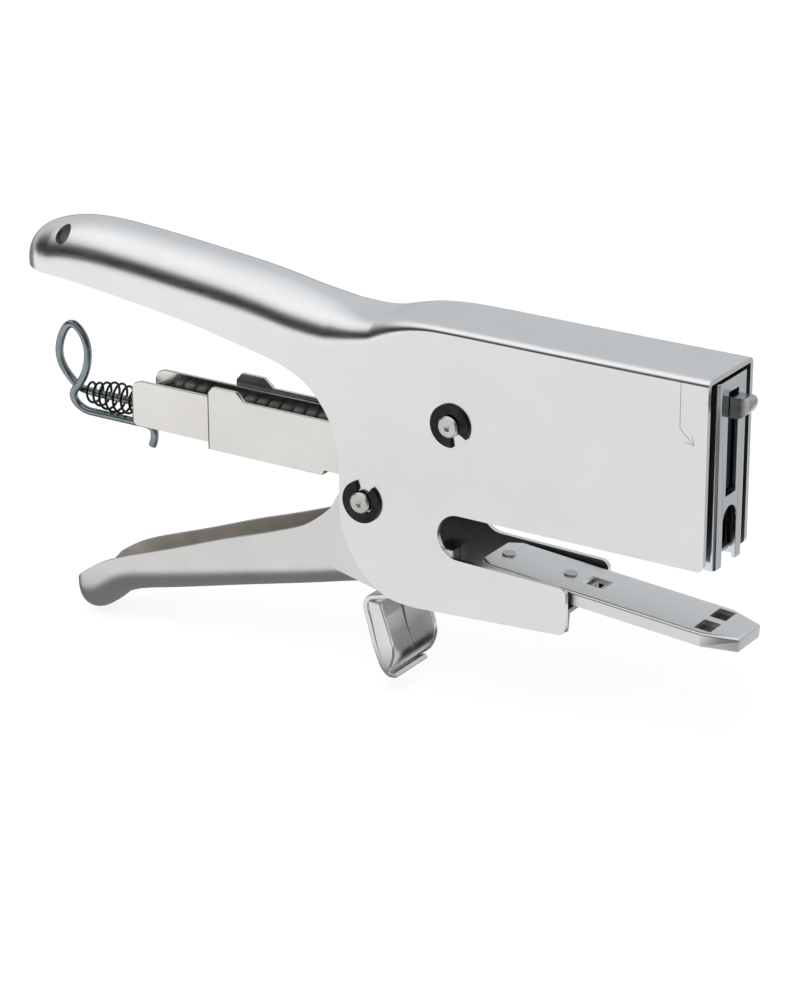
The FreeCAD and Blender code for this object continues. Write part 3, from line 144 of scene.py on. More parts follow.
def heightAt(points, x):
    # the spline through (x, z) points read as a height over x
    line = splineThrough(points, 3000)
    return np.interp(x, line[:, 0], line[:, 1])


def arcPoints(centre, radius, start, end, count):
    # points on an arc in the (x, z) plane, from one angle to the other, in degrees
    a = np.radians(np.linspace(start, end, count))
    return np.column_stack([centre[0] + radius * np.cos(a), centre[1] + radius * np.sin(a)])


def tubeAlong(name, path, radius, material, sides):
    # a round section carried along the path, its frame turned as little as possible from point to point
    path = np.asarray(path, float)
    tangent = np.gradient(path, axis=0)
    tangent /= np.linalg.norm(tangent, axis=1)[:, None]
    first = np.cross(tangent[0], [0.0, 1.0, 0.0])
    if np.linalg.norm(first) < 1e-3:
        first = np.cross(tangent[0], [1.0, 0.0, 0.0])
    normal = np.zeros_like(path)
    normal[0] = first / np.linalg.norm(first)
    for k in range(1, len(path)):
        n = normal[k - 1] - tangent[k] * np.dot(normal[k - 1], tangent[k])
        normal[k] = n / np.linalg.norm(n)
    binormal = np.cross(tangent, normal)
    a = np.linspace(0, 2 * np.pi, sides, endpoint=False)
    ring = np.cos(a)[None, :, None] * normal[:, None] + np.sin(a)[None, :, None] * binormal[:, None]
    points = (path[:, None] + ring * radius).reshape(-1, 3)
    faces = [list(f) for f in gridFaces(len(path), sides, closeColumns=True)]
    faces.append(list(range(sides))[::-1])
    faces.append(list(range((len(path) - 1) * sides, len(path) * sides)))
    obj = addMesh(name, points, faces, material)
    weld(obj)
    return obj


def turned(name, profile, centre, material, sides=64, smooth=30):
    # a profile of (radius, y) turned about a line along Y
    profile = np.asarray(profile, float)
    a = np.linspace(0, 2 * np.pi, sides, endpoint=False)
    x = centre[0] + profile[:, 0][:, None] * np.cos(a)[None]
    z = centre[1] + profile[:, 0][:, None] * np.sin(a)[None]
    y = np.broadcast_to(profile[:, 1][:, None], x.shape)
    points = np.stack([x, y, z], -1).reshape(-1, 3)
    obj = addMesh(name, points, gridFaces(len(profile), sides, closeColumns=True), material, 0)
    weld(obj, 1e-7)
    smoothByAngle(obj, smooth)
    return obj


def plate(name, outline, low, high, material, slot, smooth=30):
    # an outline of (x, z) points as a flat slab from y = low to y = high
    outline = np.asarray(outline, float)
    n = len(outline)
    front = np.column_stack([outline[:, 0], np.full(n, low), outline[:, 1]])
    back = front + [0, high - low, 0]
    sides = [[k, (k + 1) % n, n + (k + 1) % n, n + k] for k in range(n)]
    obj = addMesh(name, np.vstack([front, back]), [list(range(n))[::-1], list(range(n, 2 * n))] + sides,
                  material, 0)
    weld(obj, 1e-7)
    smoothByAngle(obj, smooth)
    return obj


def socket(group, name, kind, direction, default=None):
    # one input or output of a node group
    item = group.interface.new_socket(name=name, in_out=direction, socket_type=kind)
    if default is not None:
        item.default_value = default
    return item


def buildPlatingGroup():
    # cloudy tone, fine scuffs and a soft ripple for plated sheet metal
    group = bpy.data.node_groups.new("platedSheet", "ShaderNodeTree")
    socket(group, "Bright", "NodeSocketColor", "INPUT", (0.8, 0.8, 0.8, 1))
    socket(group, "Dull", "NodeSocketColor", "INPUT", (0.6, 0.6, 0.6, 1))
    socket(group, "Cloud Size", "NodeSocketFloat", "INPUT", 60.0)
    socket(group, "Rough Low", "NodeSocketFloat", "INPUT", 0.1)
    socket(group, "Rough High", "NodeSocketFloat", "INPUT", 0.25)
    socket(group, "Ripple", "NodeSocketFloat", "INPUT", 0.1)
    socket(group, "Color", "NodeSocketColor", "OUTPUT")
    socket(group, "Roughness", "NodeSocketFloat", "OUTPUT")
    socket(group, "Normal", "NodeSocketVector", "OUTPUT")
    n, link = group.nodes, group.links
    gin, gout = n.new("NodeGroupInput"), n.new("NodeGroupOutput")
    where = n.new("ShaderNodeTexCoord")
    cloud = n.new("ShaderNodeTexNoise")
    cloud.inputs["Detail"].default_value = 4.0
    scuff = n.new("ShaderNodeTexNoise")
    scuff.inputs["Detail"].default_value = 6.0
    stretch = n.new("ShaderNodeMapping")
    stretch.inputs["Scale"].default_value = (120.0, 1500.0, 1500.0)
    link.new(where.outputs["Object"], cloud.inputs["Vector"])
    link.new(gin.outputs["Cloud Size"], cloud.inputs["Scale"])
    link.new(where.outputs["Object"], stretch.inputs["Vector"])
    link.new(stretch.outputs["Vector"], scuff.inputs["Vector"])
    scuff.inputs["Scale"].default_value = 1.0
    tone = n.new("ShaderNodeMix")
    tone.data_type = "RGBA"
    ramp = n.new("ShaderNodeMapRange")
    ramp.inputs["From Min"].default_value = 0.35
    ramp.inputs["From Max"].default_value = 0.65
    link.new(cloud.outputs["Fac"], ramp.inputs["Value"])
    link.new(ramp.outputs["Result"], tone.inputs["Factor"])
    link.new(gin.outputs["Bright"], tone.inputs["A"])
    link.new(gin.outputs["Dull"], tone.inputs["B"])
    link.new(tone.outputs["Result"], gout.inputs["Color"])
    rough = n.new("ShaderNodeMapRange")
    rough.inputs["From Min"].default_value = 0.35
    rough.inputs["From Max"].default_value = 0.7
    link.new(scuff.outputs["Fac"], rough.inputs["Value"])
    link.new(gin.outputs["Rough Low"], rough.inputs["To Min"])
    link.new(gin.outputs["Rough High"], rough.inputs["To Max"])
    link.new(rough.outputs["Result"], gout.inputs["Roughness"])
    ripple = n.new("ShaderNodeTexNoise")
    ripple.inputs["Scale"].default_value = 90.0
    ripple.inputs["Detail"].default_value = 1.0
    link.new(where.outputs["Object"], ripple.inputs["Vector"])
    bump = n.new("ShaderNodeBump")
    bump.inputs["Distance"].default_value = 0.0004
    link.new(gin.outputs["Ripple"], bump.inputs["Strength"])
    link.new(ripple.outputs["Fac"], bump.inputs["Height"])
    link.new(bump.outputs["Normal"], gout.inputs["Normal"])
    return group


platedSheet = buildPlatingGroup()


def principled(name):
    # a new material with its nodes, links and shader
    material = bpy.data.materials.new(name)
    material.use_nodes = True
    tree = material.node_tree
    return material, tree.nodes, tree.links, tree.nodes["Principled BSDF"]


def platedMetal(name, bright, dull, rough, cloud=60.0):
    # two tones in soft clouds of the given size, roughness between two values, a faint ripple
    material, n, link, shader = principled(name)
    group = n.new("ShaderNodeGroup")
    group.node_tree = platedSheet
    group.inputs["Bright"].default_value = (*bright, 1)
    group.inputs["Dull"].default_value = (*dull, 1)
    group.inputs["Cloud Size"].default_value = cloud
    group.inputs["Rough Low"].default_value = rough[0]
    group.inputs["Rough High"].default_value = rough[1]
    group.inputs["Ripple"].default_value = 0.05
    shader.inputs["Metallic"].default_value = 1.0
    link.new(group.outputs["Color"], shader.inputs["Base Color"])
    link.new(group.outputs["Roughness"], shader.inputs["Roughness"])
    link.new(group.outputs["Normal"], shader.inputs["Normal"])
    return material


magazineTone = {"bright": (0.79, 0.775, 0.755), "dull": (0.74, 0.725, 0.70), "rough": (0.20, 0.28)}
# the painted shade line along the magazine plates' rear edges: its dark colour, and where it is fully dark and
# where it clears, in mm from the edge
paintedEdgeShade = {"tone": (0.12, 0.12, 0.115), "dark": 0.3, "clear": 0.5}


def metalWithPaintedEdgeShade(name, node):
    # the magazine's plating with a thin painted shade line along the node's rear edge, standing in for the shade
    # at the sheared edge and on the plate behind it, widths in mm
    material = platedMetal(name, magazineTone["bright"], magazineTone["dull"], magazineTone["rough"])
    n, link = material.node_tree.nodes, material.node_tree.links
    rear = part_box(node)[0][0]
    where = n.new("ShaderNodeTexCoord")
    split = n.new("ShaderNodeSeparateXYZ")
    link.new(where.outputs["Object"], split.inputs["Vector"])
    line = n.new("ShaderNodeMapRange")
    line.inputs["From Min"].default_value = rear + paintedEdgeShade["dark"] / 1000.0
    line.inputs["From Max"].default_value = rear + paintedEdgeShade["clear"] / 1000.0
    link.new(split.outputs["X"], line.inputs["Value"])
    # painted shade: near the rear edge the plating is darkened to the line's colour
    tone = n.new("ShaderNodeMix")
    tone.data_type = "RGBA"
    tone.inputs["A"].default_value = (*paintedEdgeShade["tone"], 1)
    link.new(line.outputs["Result"], tone.inputs["Factor"])
    shader = n["Principled BSDF"]
    plated = shader.inputs["Base Color"].links[0].from_socket
    link.new(plated, tone.inputs["B"])
    link.new(tone.outputs["Result"], shader.inputs["Base Color"])
    return material


# the tones of each material slot: bright, dull, roughness, and the clouds' fineness
finish = {
    "body_nickel": platedMetal("bodyNickel", (0.80, 0.80, 0.805), (0.775, 0.775, 0.78), (0.20, 0.26)),
    "lever_nickel": platedMetal("leverNickel", (0.72, 0.725, 0.72), (0.67, 0.675, 0.67), (0.20, 0.28)),
    "guard_nickel": platedMetal("guardNickel", (0.80, 0.81, 0.81), (0.72, 0.73, 0.72), (0.14, 0.22)),
    "magazine_nickel": platedMetal("magazineNickel", magazineTone["bright"], magazineTone["dull"],
                                   magazineTone["rough"]),
    "anvil_steel": platedMetal("anvilSteel", (0.76, 0.765, 0.76), (0.73, 0.735, 0.73), (0.29, 0.33)),
    "zinc_steel": platedMetal("zincSteel", (0.40, 0.40, 0.39), (0.30, 0.30, 0.29), (0.3, 0.42), 200.0),
    "pin_steel": platedMetal("pinSteel", (0.62, 0.62, 0.60), (0.5, 0.5, 0.48), (0.24, 0.38), 300.0),
    "nose_steel": platedMetal("noseSteel", (0.52, 0.53, 0.52), (0.40, 0.41, 0.41), (0.16, 0.26), 300.0),
    "black_oxide": platedMetal("blackOxide", (0.035, 0.036, 0.04), (0.02, 0.02, 0.022), (0.3, 0.45), 400.0),
    "spring_steel": platedMetal("springSteel", (0.10, 0.105, 0.11), (0.06, 0.063, 0.067), (0.3, 0.45), 300.0),
    "wire_zinc": platedMetal("wireZinc", (0.29, 0.335, 0.355), (0.22, 0.26, 0.28), (0.22, 0.32), 250.0),
}

# finishes of single nodes and of the sheets' inner faces, some of them painted shade
# painted shade: the driver blade and staple rail made near black for the shade they sit in inside the housing
bladePaintedShade = platedMetal("bladePaintedShade", (0.05, 0.05, 0.054), (0.035, 0.035, 0.038), (0.3, 0.4), 200.0)
guideNickel = platedMetal("guideNickel", (0.74, 0.79, 0.83), (0.70, 0.75, 0.79), (0.18, 0.24))
# painted shade: the body sheet's inner faces and the staple pusher made dark grey for the shade inside the body
sheetInsidePaintedShade = platedMetal("sheetInsidePaintedShade", (0.20, 0.20, 0.195), (0.13, 0.13, 0.128), (0.4, 0.55), 120.0)
handleInside = platedMetal("handleInside", (0.66, 0.63, 0.575), (0.54, 0.515, 0.475), (0.38, 0.5), 120.0)
print("finishes ready:", len(finish))

slotOf = {item["node"]: item["material_slot"] for item in frame["record"]["subparts"]}

# how much of each carried-over node's edges is broken, in mm
edgeBreak = {"anvil_bar": 0.4, "anvil_support": 0.15, "clinch_plate": 0.1, "anvil_rivets": 0.3,
             "drive_nose": 0.2, "nose_rivet": 0.1, "magazine_channel": 0.4, "front_guide": 0.12,
             "staple_rail": 0.1, "driver_blade": 0.1, "inner_channel": 0.36, "end_block": 0.15,
             "staple_pusher": 0.1}


# the driver blade and staple rail take the near-black painted shade, the staple pusher the inner faces' painted
# shade, and the magazine plates a painted shade line at their rear edges
ownFinish = {"driver_blade": bladePaintedShade, "staple_rail": bladePaintedShade, "staple_pusher": sheetInsidePaintedShade,
             "front_guide": guideNickel, "magazine_channel": metalWithPaintedEdgeShade("magazinePaintedEdgeShade", "magazine_channel"),
             "inner_channel": metalWithPaintedEdgeShade("innerPaintedEdgeShade", "inner_channel")}


def dress(node):
    # a carried-over node: its finish, its triangles joined for shading, its edges broken a little
    obj = nodes[node]
    obj.data.materials.clear()
    obj.data.materials.append(ownFinish.get(node, finish[slotOf[node]]))
    if node in edgeBreak:
        join = obj.modifiers.new("Join", "WELD")
        join.merge_threshold = 1e-6
        bevel(obj, edgeBreak[node], 2, 30)


for node in nodes:
    dress(node)
print("nodes dressed:", len(nodes))

# the folded body: half width, sheet, ends, length of the rounded tip, corner radii of grip and housing, where
# along X the drawn plates take over from the grip, their upper edge, and the hanging hole's place and radius
bodyForm = {"half": 10.0, "wall": 1.2, "rear": -97.6, "tip": 10.5, "front": 85.4, "grip": 9.6, "fold": 1.6,
            "split": -30.0, "seamFrom": 20.0, "seam": 41.5, "hole": (-84.3, 47.4), "holeRadius": 1.9}
crownLine = [(-97.6, 41.4), (-97.2, 43.2), (-96.0, 45.1), (-93.4, 47.4), (-89.0, 49.2), (-83.5, 50.3),
             (-76.7, 50.65), (-66.5, 50.2), (-56.0, 49.3), (-45.0, 48.2), (-31.5, 46.65), (-21.0, 44.9),
             (-11.0, 43.0), (-5.5, 42.0), (-1.8, 41.8), (1.8, 42.3), (6.1, 43.3), (12.0, 44.1), (20.0, 44.4),
             (40.0, 44.4), (85.4, 44.4)]
gripEdge = [(-98.6, 38.9), (-96.0, 38.6), (-91.0, 38.3), (-83.0, 37.9), (-69.7, 36.5), (-56.7, 34.9),
            (-45.3, 33.2), (-35.5, 31.3), (-28.5, 29.9), (-23.0, 28.6), (-18.9, 27.1), (-15.5, 25.3),
            (-13.0, 23.2), (-11.2, 21.2), (-9.4, 18.6), (-8.0, 15.8), (-6.9, 12.8), (-6.35, 9.5), (-6.2, 6.0)]


def roundness(x):
    # corner radius of the crown: round on the grip, easing to the tight fold of the housing
    t = np.clip((20.0 - x) / 42.0, 0, 1)
    return bodyForm["fold"] + (bodyForm["grip"] - bodyForm["fold"]) * t * t * (3 - 2 * t)


def sideEdge():
    # the near plate's outline from the grip's lower edge round the jaw and mouth to the housing's front
    grip = splineThrough(gripEdge, 400)
    grip = grip[grip[:, 0] > bodyForm["split"] + 0.4][::3]
    heel = splineThrough([(-6.2, -4.0), (-5.6, -7.6), (-4.3, -10.9), (-2.5, -14.3), (0.2, -17.6), (3.0, -20.0),
                          (6.0, -21.6), (9.8, -22.4), (14.1, -22.6)], 40)
    corner = arcPoints((50.5, -18.6), 1.9, -90, 0, 9)
    lip = arcPoints((50.6, -11.2), 1.8, 0, 90, 9)
    root = arcPoints((25.0, -3.5), 5.3, 270, 90, 40)
    nose = arcPoints((83.9, 3.3), 1.5, -90, 0, 9)
    return np.vstack([grip, heel, corner, lip, root, nose])


def buildBody():
    # one section for each x: a straight flank up to r below the crown, a quarter circle of radius r, then flat
    # to the middle, mirrored; at the tip the half width shrinks as an ellipse; flat plates hang below the seam
    f = bodyForm
    crown = splineThrough(crownLine, 900)
    x = np.concatenate([f["rear"] + 0.1 + (f["tip"] + 10) * (1 - np.cos(np.linspace(0.03, np.pi / 2, 60))),
                        np.linspace(-77.0, f["split"], 60)[1:], np.linspace(f["split"], 24.0, 90)[1:],
                        np.linspace(24.0, f["front"], 24)[1:]])
    z = np.interp(x, crown[:, 0], crown[:, 1])
    dome = np.clip((f["rear"] + f["tip"] - x) / f["tip"], 0, 1)
    half = f["half"] * np.clip(1 - dome ** 2, 1e-4, 1) ** 0.5
    edge = heightAt(gripEdge, np.minimum(x, f["split"]))
    seam = np.interp(x, [f["split"], f["seamFrom"]], [edge[x <= f["split"]][-1], f["seam"]])
    low = np.where(x <= f["split"], edge, seam)
    r = np.minimum(roundness(x), half * 0.985)
    r = np.minimum(r, z - low - 0.05)
    up = np.linspace(0, 1, 12)
    a = np.linspace(0, np.pi / 2, 18)[1:]
    over = np.linspace(0, 1, 7)[1:]
    sideY, sideZ = np.tile(-half[:, None], (1, 12)), low[:, None] + (z - r - low)[:, None] * up
    arcY = -half[:, None] + r[:, None] * (1 - np.cos(a))
    arcZ = (z - r)[:, None] + r[:, None] * np.sin(a)
    topY = (-half + r)[:, None] * (1 - over)
    topZ = np.tile(z[:, None], (1, 6))
    y = np.hstack([sideY, arcY, topY])
    zz = np.hstack([sideZ, arcZ, topZ])
    y = np.hstack([y, -y[:, -2::-1]])
    zz = np.hstack([zz, zz[:, -2::-1]])
    rows, columns = y.shape
    points = np.stack([np.tile(x[:, None], (1, columns)), y, zz], -1).reshape(-1, 3)
    faces = [list(c) for c in gridFaces(rows, columns)]
    outline = sideEdge()
    start = int(np.argmax(x >= f["split"] - 1e-6))
    joined = np.arange(start, rows)
    for column, side in ((0, -1.0), (columns - 1, 1.0)):
        base = len(points)
        plateY = np.full(len(outline), side * f["half"])
        points = np.vstack([points, np.column_stack([outline[:, 0], plateY, outline[:, 1]])])
        loop = list(base + np.arange(len(outline))) + [int(i) * columns + column for i in joined[::-1]]
        faces.append(loop if side < 0 else loop[::-1])
    obj = addMesh("bodyShell", points, faces, finish["body_nickel"], 0)
    weld(obj, 2e-6)
    return obj


def thicken(obj, wall, inside):
    # the sheet's thickness, its inner faces in the given inside material, darker than the outside (on the body a
    # painted shade)
    obj.data.materials.append(inside)
    mod = obj.modifiers.new("Sheet", "SOLIDIFY")
    mod.material_offset = 1
    mod.thickness = wall / 1000.0
    mod.offset = -1.0
    mod.use_even_offset = True
    mod.use_quality_normals = True


def drill(obj, centre, radius):
    # a round hole across the part: the sheet is settled and cut with a cylinder that then goes
    a = np.linspace(0, 2 * np.pi, 40, endpoint=False)
    ring = np.column_stack([centre[0] + radius * np.cos(a), centre[1] + radius * np.sin(a)])
    cutter = plate("holeCutter", ring, -15.0, 15.0, sheetInsidePaintedShade, "body_nickel")
    mod = obj.modifiers.new("Hole", "BOOLEAN")
    mod.operation = "DIFFERENCE"
    mod.solver = "EXACT"
    mod.object = cutter
    settled = bpy.data.meshes.new_from_object(obj.evaluated_get(bpy.context.evaluated_depsgraph_get()))
    obj.modifiers.clear()
    old = obj.data
    obj.data = settled
    settled.name = old.name
    bpy.data.meshes.remove(old)
    scrap = cutter.data
    bpy.data.objects.remove(cutter)
    bpy.data.meshes.remove(scrap)


bodyShell = buildBody()
thicken(bodyShell, bodyForm["wall"], sheetInsidePaintedShade)
drill(bodyShell, bodyForm["hole"], bodyForm["holeRadius"])
bevel(bodyShell, 0.25, 2, 40)
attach(bodyShell, "body")
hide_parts("body_shell")

# a fine cut line down the near plate with a small arrow head: its runs, half its width and its place across
feedMark = {"runs": (((79.0, 43.2), (79.0, 33.1), (82.4, 29.9)), ((80.2, 30.3), (82.4, 29.9), (81.9, 32.0))),
            "half": 0.07, "y": -10.012}
for number, run in enumerate(feedMark["runs"]):
    corners = np.array(run, float)
    for part in range(len(corners) - 1):
        a, b = corners[part], corners[part + 1]
        across = np.array([-(b - a)[1], (b - a)[0]]) / np.linalg.norm(b - a) * feedMark["half"]
        strip = addMesh("feedLine%d%d" % (number, part),
                        [(p[0], feedMark["y"], p[1]) for p in (a - across, b - across, b + across, a + across)],
                        [(0, 1, 2, 3)], finish["zinc_steel"], 0)
        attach(strip, "body")
print("body ready")

# the lower handle: half width, sheet, rear end, length of the rounded tip, corner radius below
leverForm = {"half": 8.2, "wall": 1.2, "rear": -84.85, "tip": 3.5, "fold": 7.2}
leverTop = [(-84.85, -41.3), (-84.3, -39.4), (-83.0, -37.3), (-79.9, -34.75), (-75.7, -32.3), (-71.5, -30.4),
            (-62.9, -27.2), (-50.7, -22.7), (-41.6, -19.2), (-29.6, -15.0), (-22.3, -12.3), (-17.5, -10.2),
            (-13.4, -7.4), (-10.0, -4.4), (-7.5, -1.8), (-4.5, 2.0)]
leverLow = [(-84.85, -43.4), (-84.4, -45.2), (-83.2, -46.5), (-81.2, -47.0), (-79.0, -46.3), (-76.6, -44.5),
            (-73.4, -41.9), (-69.4, -39.9), (-61.2, -37.6), (-47.6, -34.1), (-35.3, -30.9), (-15.1, -25.7),
            (-0.8, -22.1), (1.8, -21.6)]


def buildLever():
    # one section for each x: a straight flank down to r above the keel, a quarter circle of radius r, then flat
    # to the middle, mirrored; near the tip the half width shrinks as the cube root of one less the cube of t,
    # where t runs from 0 to 1 at the end
    f = leverForm
    x = np.concatenate([f["rear"] + 0.02 + (f["tip"] + 8) * (1 - np.cos(np.linspace(0.03, np.pi / 2, 60))),
                        np.linspace(f["rear"] + f["tip"] + 8.02, 1.6, 90)[1:]])
    top, low = splineThrough(leverTop, 3000), splineThrough(leverLow, 3000)
    high = np.interp(x, top[:, 0], top[:, 1])
    base = np.interp(x, low[:, 0], low[:, 1])
    high = np.where(x > -6.0, np.interp(x, [-6.0, 1.6], [np.interp(-6.0, top[:, 0], top[:, 1]), 1.0]), high)
    dome = np.clip((f["rear"] + f["tip"] - x) / f["tip"], 0, 1)
    half = f["half"] * np.clip(1 - dome ** 3, 1e-4, 1) ** (1 / 3)
    r = np.minimum(np.minimum(f["fold"], half * 0.985), (high - base) * 0.9)
    up = np.linspace(0, 1, 10)
    a = np.linspace(0, np.pi / 2, 16)[1:]
    over = np.linspace(0, 1, 6)[1:]
    y = np.hstack([np.tile(-half[:, None], (1, 10)), -half[:, None] + r[:, None] * (1 - np.cos(a)),
                   (-half + r)[:, None] * (1 - over)])
    z = np.hstack([high[:, None] - (high - base - r)[:, None] * up,
                   (base + r)[:, None] - r[:, None] * np.sin(a), np.tile(base[:, None], (1, 5))])
    y = np.hstack([y, -y[:, -2::-1]])
    z = np.hstack([z, z[:, -2::-1]])
    rows, columns = y.shape
    points = np.stack([np.tile(x[:, None], (1, columns)), y, z], -1).reshape(-1, 3)
    obj = addMesh("lowerHandle", points, gridFaces(rows, columns)[:, ::-1], finish["lever_nickel"],
                  0)
    weld(obj, 2e-6)
    return obj


lowerHandle = buildLever()
thicken(lowerHandle, leverForm["wall"], handleInside)
bevel(lowerHandle, 0.25, 2, 40)
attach(lowerHandle, "lever")
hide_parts("lower_handle")

# the lever's cheeks, from the handle up to the nose, and the two faces of the near or far one across
cheekFaces = (7.04, 8.16)
cheekEdge = [(-11.5, -6.8), (-9.4, -3.4), (-7.4, 0.2), (-4.2, 5.0), (2.2, 9.4), (19.1, 17.2)]
cheekOutline = np.vstack([splineThrough(cheekEdge, 40), [(27.1, 19.2)],
                          splineThrough([(27.1, 19.2), (44.0, 33.6), (62.0, 40.1), (69.0, 40.15)], 40)[1:],
                          arcPoints((69.0, 36.65), 3.5, 90, -90, 20)[1:],
                          splineThrough([(69.0, 33.15), (60.0, 32.3), (41.2, 22.1), (25.1, 6.8), (11.2, 0.0),
                                         (7.1, -9.0), (2.3, -21.5)], 80)[1:], [(-11.5, -18.5)]])
for side, label in ((-1, "Near"), (1, "Far")):
    across = sorted(side * face for face in cheekFaces)
    cheek = plate("leverCheek" + label, cheekOutline, *across, finish["lever_nickel"], "lever_nickel")
    bevel(cheek, 0.15)
    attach(cheek, "lever")
print("lower handle ready")

# the wire: a hook below the block, a run to the rear, an eye crossed over itself, and a run forward
loopRoute = [(-84.0, 0, 1.9), (-86.7, -0.3, 2.9), (-87.9, -1.05, 5.3), (-85.8, -1.05, 9.1), (-83.8, -0.3, 15.5),
             (-85.0, 0, 20.4), (-88.0, 0, 23.0), (-92.2, 0, 17.7), (-92.1, 0.3, 12.5), (-90.2, 1.05, 9.0),
             (-87.4, 1.05, 7.0), (-84.6, 0.4, 6.9), (-82.6, 0, 6.9)]
hookRoute = [(-65.7, 0, -3.1), (-65.0, 0, -0.7), (-65.4, 0, 1.2), (-67.2, 0, 1.9), (-70.0, 0, 1.9)]
route = np.vstack([splineThrough(hookRoute, 30), [(-74.0, 0, 1.9), (-78.0, 0, 1.9), (-81.0, 0, 1.9)],
                   splineThrough([(-82.5, 0, 1.9)] + loopRoute, 200), [(-80.0, 0, 6.9), (-64.9, 0, 6.9)]])
wireHandle = tubeAlong("wireHandle", route, 0.95, finish["wire_zinc"], 18)
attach(wireHandle, "latch")
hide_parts("wire_handle")


def helix(form, perTurn):
    # a winding about a line along X: the radius is the neck's, and swells by a raised cosine to the middle
    s = np.linspace(0, 1, int(form["turns"] * perTurn))
    r = form["neck"] + form["swell"] * (0.5 - 0.5 * np.cos(2 * np.pi * s))
    a = s * form["turns"] * 2 * np.pi
    x = form["start"] + (form["end"] - form["start"]) * s
    return np.column_stack([x, r * np.cos(a), form["height"] + r * np.sin(a)])


barrel = {"start": -83.9, "end": -66.9, "neck": 2.3, "swell": 1.2, "turns": 8.0, "wire": 0.3, "height": 6.9}
barrelSpring = tubeAlong("barrelSpring", helix(barrel, 28), barrel["wire"], finish["black_oxide"],
                         10)
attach(barrelSpring, "cartridge")
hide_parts("barrel_spring")

pushing = {"start": -64.4, "end": 73.1, "neck": 2.9, "swell": 0.0, "turns": 40, "wire": 0.3, "height": 9.6}
pusherSpring = tubeAlong("pusherSpring", helix(pushing, 20), pushing["wire"], finish["black_oxide"],
                         8)
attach(pusherSpring, "cartridge")
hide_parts("pusher_spring")
print("wire and springs ready")

guardForm = {"half": 7.0, "wall": 1.2}


def buildGuard():
    # a profile of the leaning wall, its curled foot and its strap, drawn across the guard's width
    f = guardForm
    profile = np.vstack([
        [(14.0, -21.2), (3.0, -24.15)],
        splineThrough([(1.2, -24.65), (-0.2, -25.2), (-0.85, -26.3), (-0.7, -27.8)], 10),
        splineThrough([(0.3, -31.0), (1.6, -35.8), (2.9, -39.3), (4.0, -41.3), (5.2, -42.0), (6.4, -41.7)], 30)])
    # the foot draws in by the cube of the way down, 0.4 mm at its end
    inset = np.concatenate([np.zeros(12), np.linspace(0, 1, 30) ** 3 * 0.4])
    across = np.linspace(-1, 1, 9)
    points = np.stack([np.tile(profile[:, :1], (1, 9)), (f["half"] - inset)[:, None] * across[None],
                       np.tile(profile[:, 1:], (1, 9))], -1)
    obj = addMesh("fingerGuard", points.reshape(-1, 3), gridFaces(len(profile), 9), finish["guard_nickel"],
                  0)
    obj.data.flip_normals()
    mod = obj.modifiers.new("Sheet", "SOLIDIFY")
    mod.thickness = f["wall"] / 1000.0
    mod.offset = -1.0
    mod.use_even_offset = True
    bevel(obj, 0.25, 2, 40)
    return obj


fingerGuard = buildGuard()
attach(fingerGuard, "body")
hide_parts("finger_guard")
leafRear = splineThrough([(-0.9, -25.4), (0.1, -29.5), (1.6, -35.8), (2.7, -39.0), (4.0, -42.0)], 24)
nearLeaf = np.vstack([leafRear, splineThrough([(4.6, -41.6), (5.5, -39.4), (5.8, -36.5), (4.9, -32.6),
                                               (3.5, -28.6), (2.3, -25.4)], 24)])
farLeaf = np.vstack([leafRear, splineThrough([(5.2, -42.0), (7.3, -40.4), (8.7, -37.9), (9.25, -35.4),
                                              (8.9, -32.9), (8.1, -30.5), (7.9, -28.0), (7.9, -23.4)], 40)])
for label, outline, low, high in (("Near", nearLeaf, -7.0, -5.9), ("Far", farLeaf, 5.8, 7.0)):
    leaf = plate("guardCheek" + label, outline, low, high, finish["guard_nickel"], "guard_nickel")
    bevel(leaf, 0.3, 3)
    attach(leaf, "body")
tab = np.array([(9.6, -23.4), (14.0, -22.2), (14.0, -14.2), (9.6, -14.2)])
for label, low, high in (("Near", -8.75, -5.8), ("Far", 5.8, 8.75)):
    ear = plate("guardTab" + label, tab, low, high, finish["guard_nickel"], "guard_nickel")
    bevel(ear, 0.2, 2)
    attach(ear, "body")
print("finger guard ready")

# pins and clips; the pins' near ends, grooves and far heads lie at these places across
pinForm = {"radius": 2.5, "end": -11.6, "chamfer": 0.35, "dimple": 0.9, "groove": (-10.8, -10.0),
           "grooveDepth": 0.5, "head": (3.8, 10.0, 11.6), "headChamfer": 0.25}
clipForm = {"outer": 4.95, "inner": 2.1, "mouth": 52.0, "lugs": ((0.12, 0.07), (0.5, 0.09), (0.88, 0.07)),
            "lugDepth": 0.75, "faces": (-10.75, -10.05)}


def buildPin(name, node, centre):
    # a turned pin: chamfered near end with a centre mark, clip groove, low head on the far side
    f = pinForm
    e, r = f["end"], f["radius"]
    wide, under, top = f["head"]
    low, high = f["groove"]
    waist, rim = r - f["grooveDepth"], f["headChamfer"]
    profile = [(0.0, e + 0.45), (f["dimple"] * 0.4, e + 0.4), (f["dimple"], e + 0.02), (f["dimple"] + 0.15, e),
               (r - f["chamfer"], e), (r, e + f["chamfer"]), (r, low), (waist, low), (waist, high), (r, high),
               (r, under), (wide, under), (wide, top - rim), (wide - rim, top), (0.0, top)]
    pin = turned(name, profile, centre, finish["pin_steel"], 72, 30)
    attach(pin, "body")
    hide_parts(node)


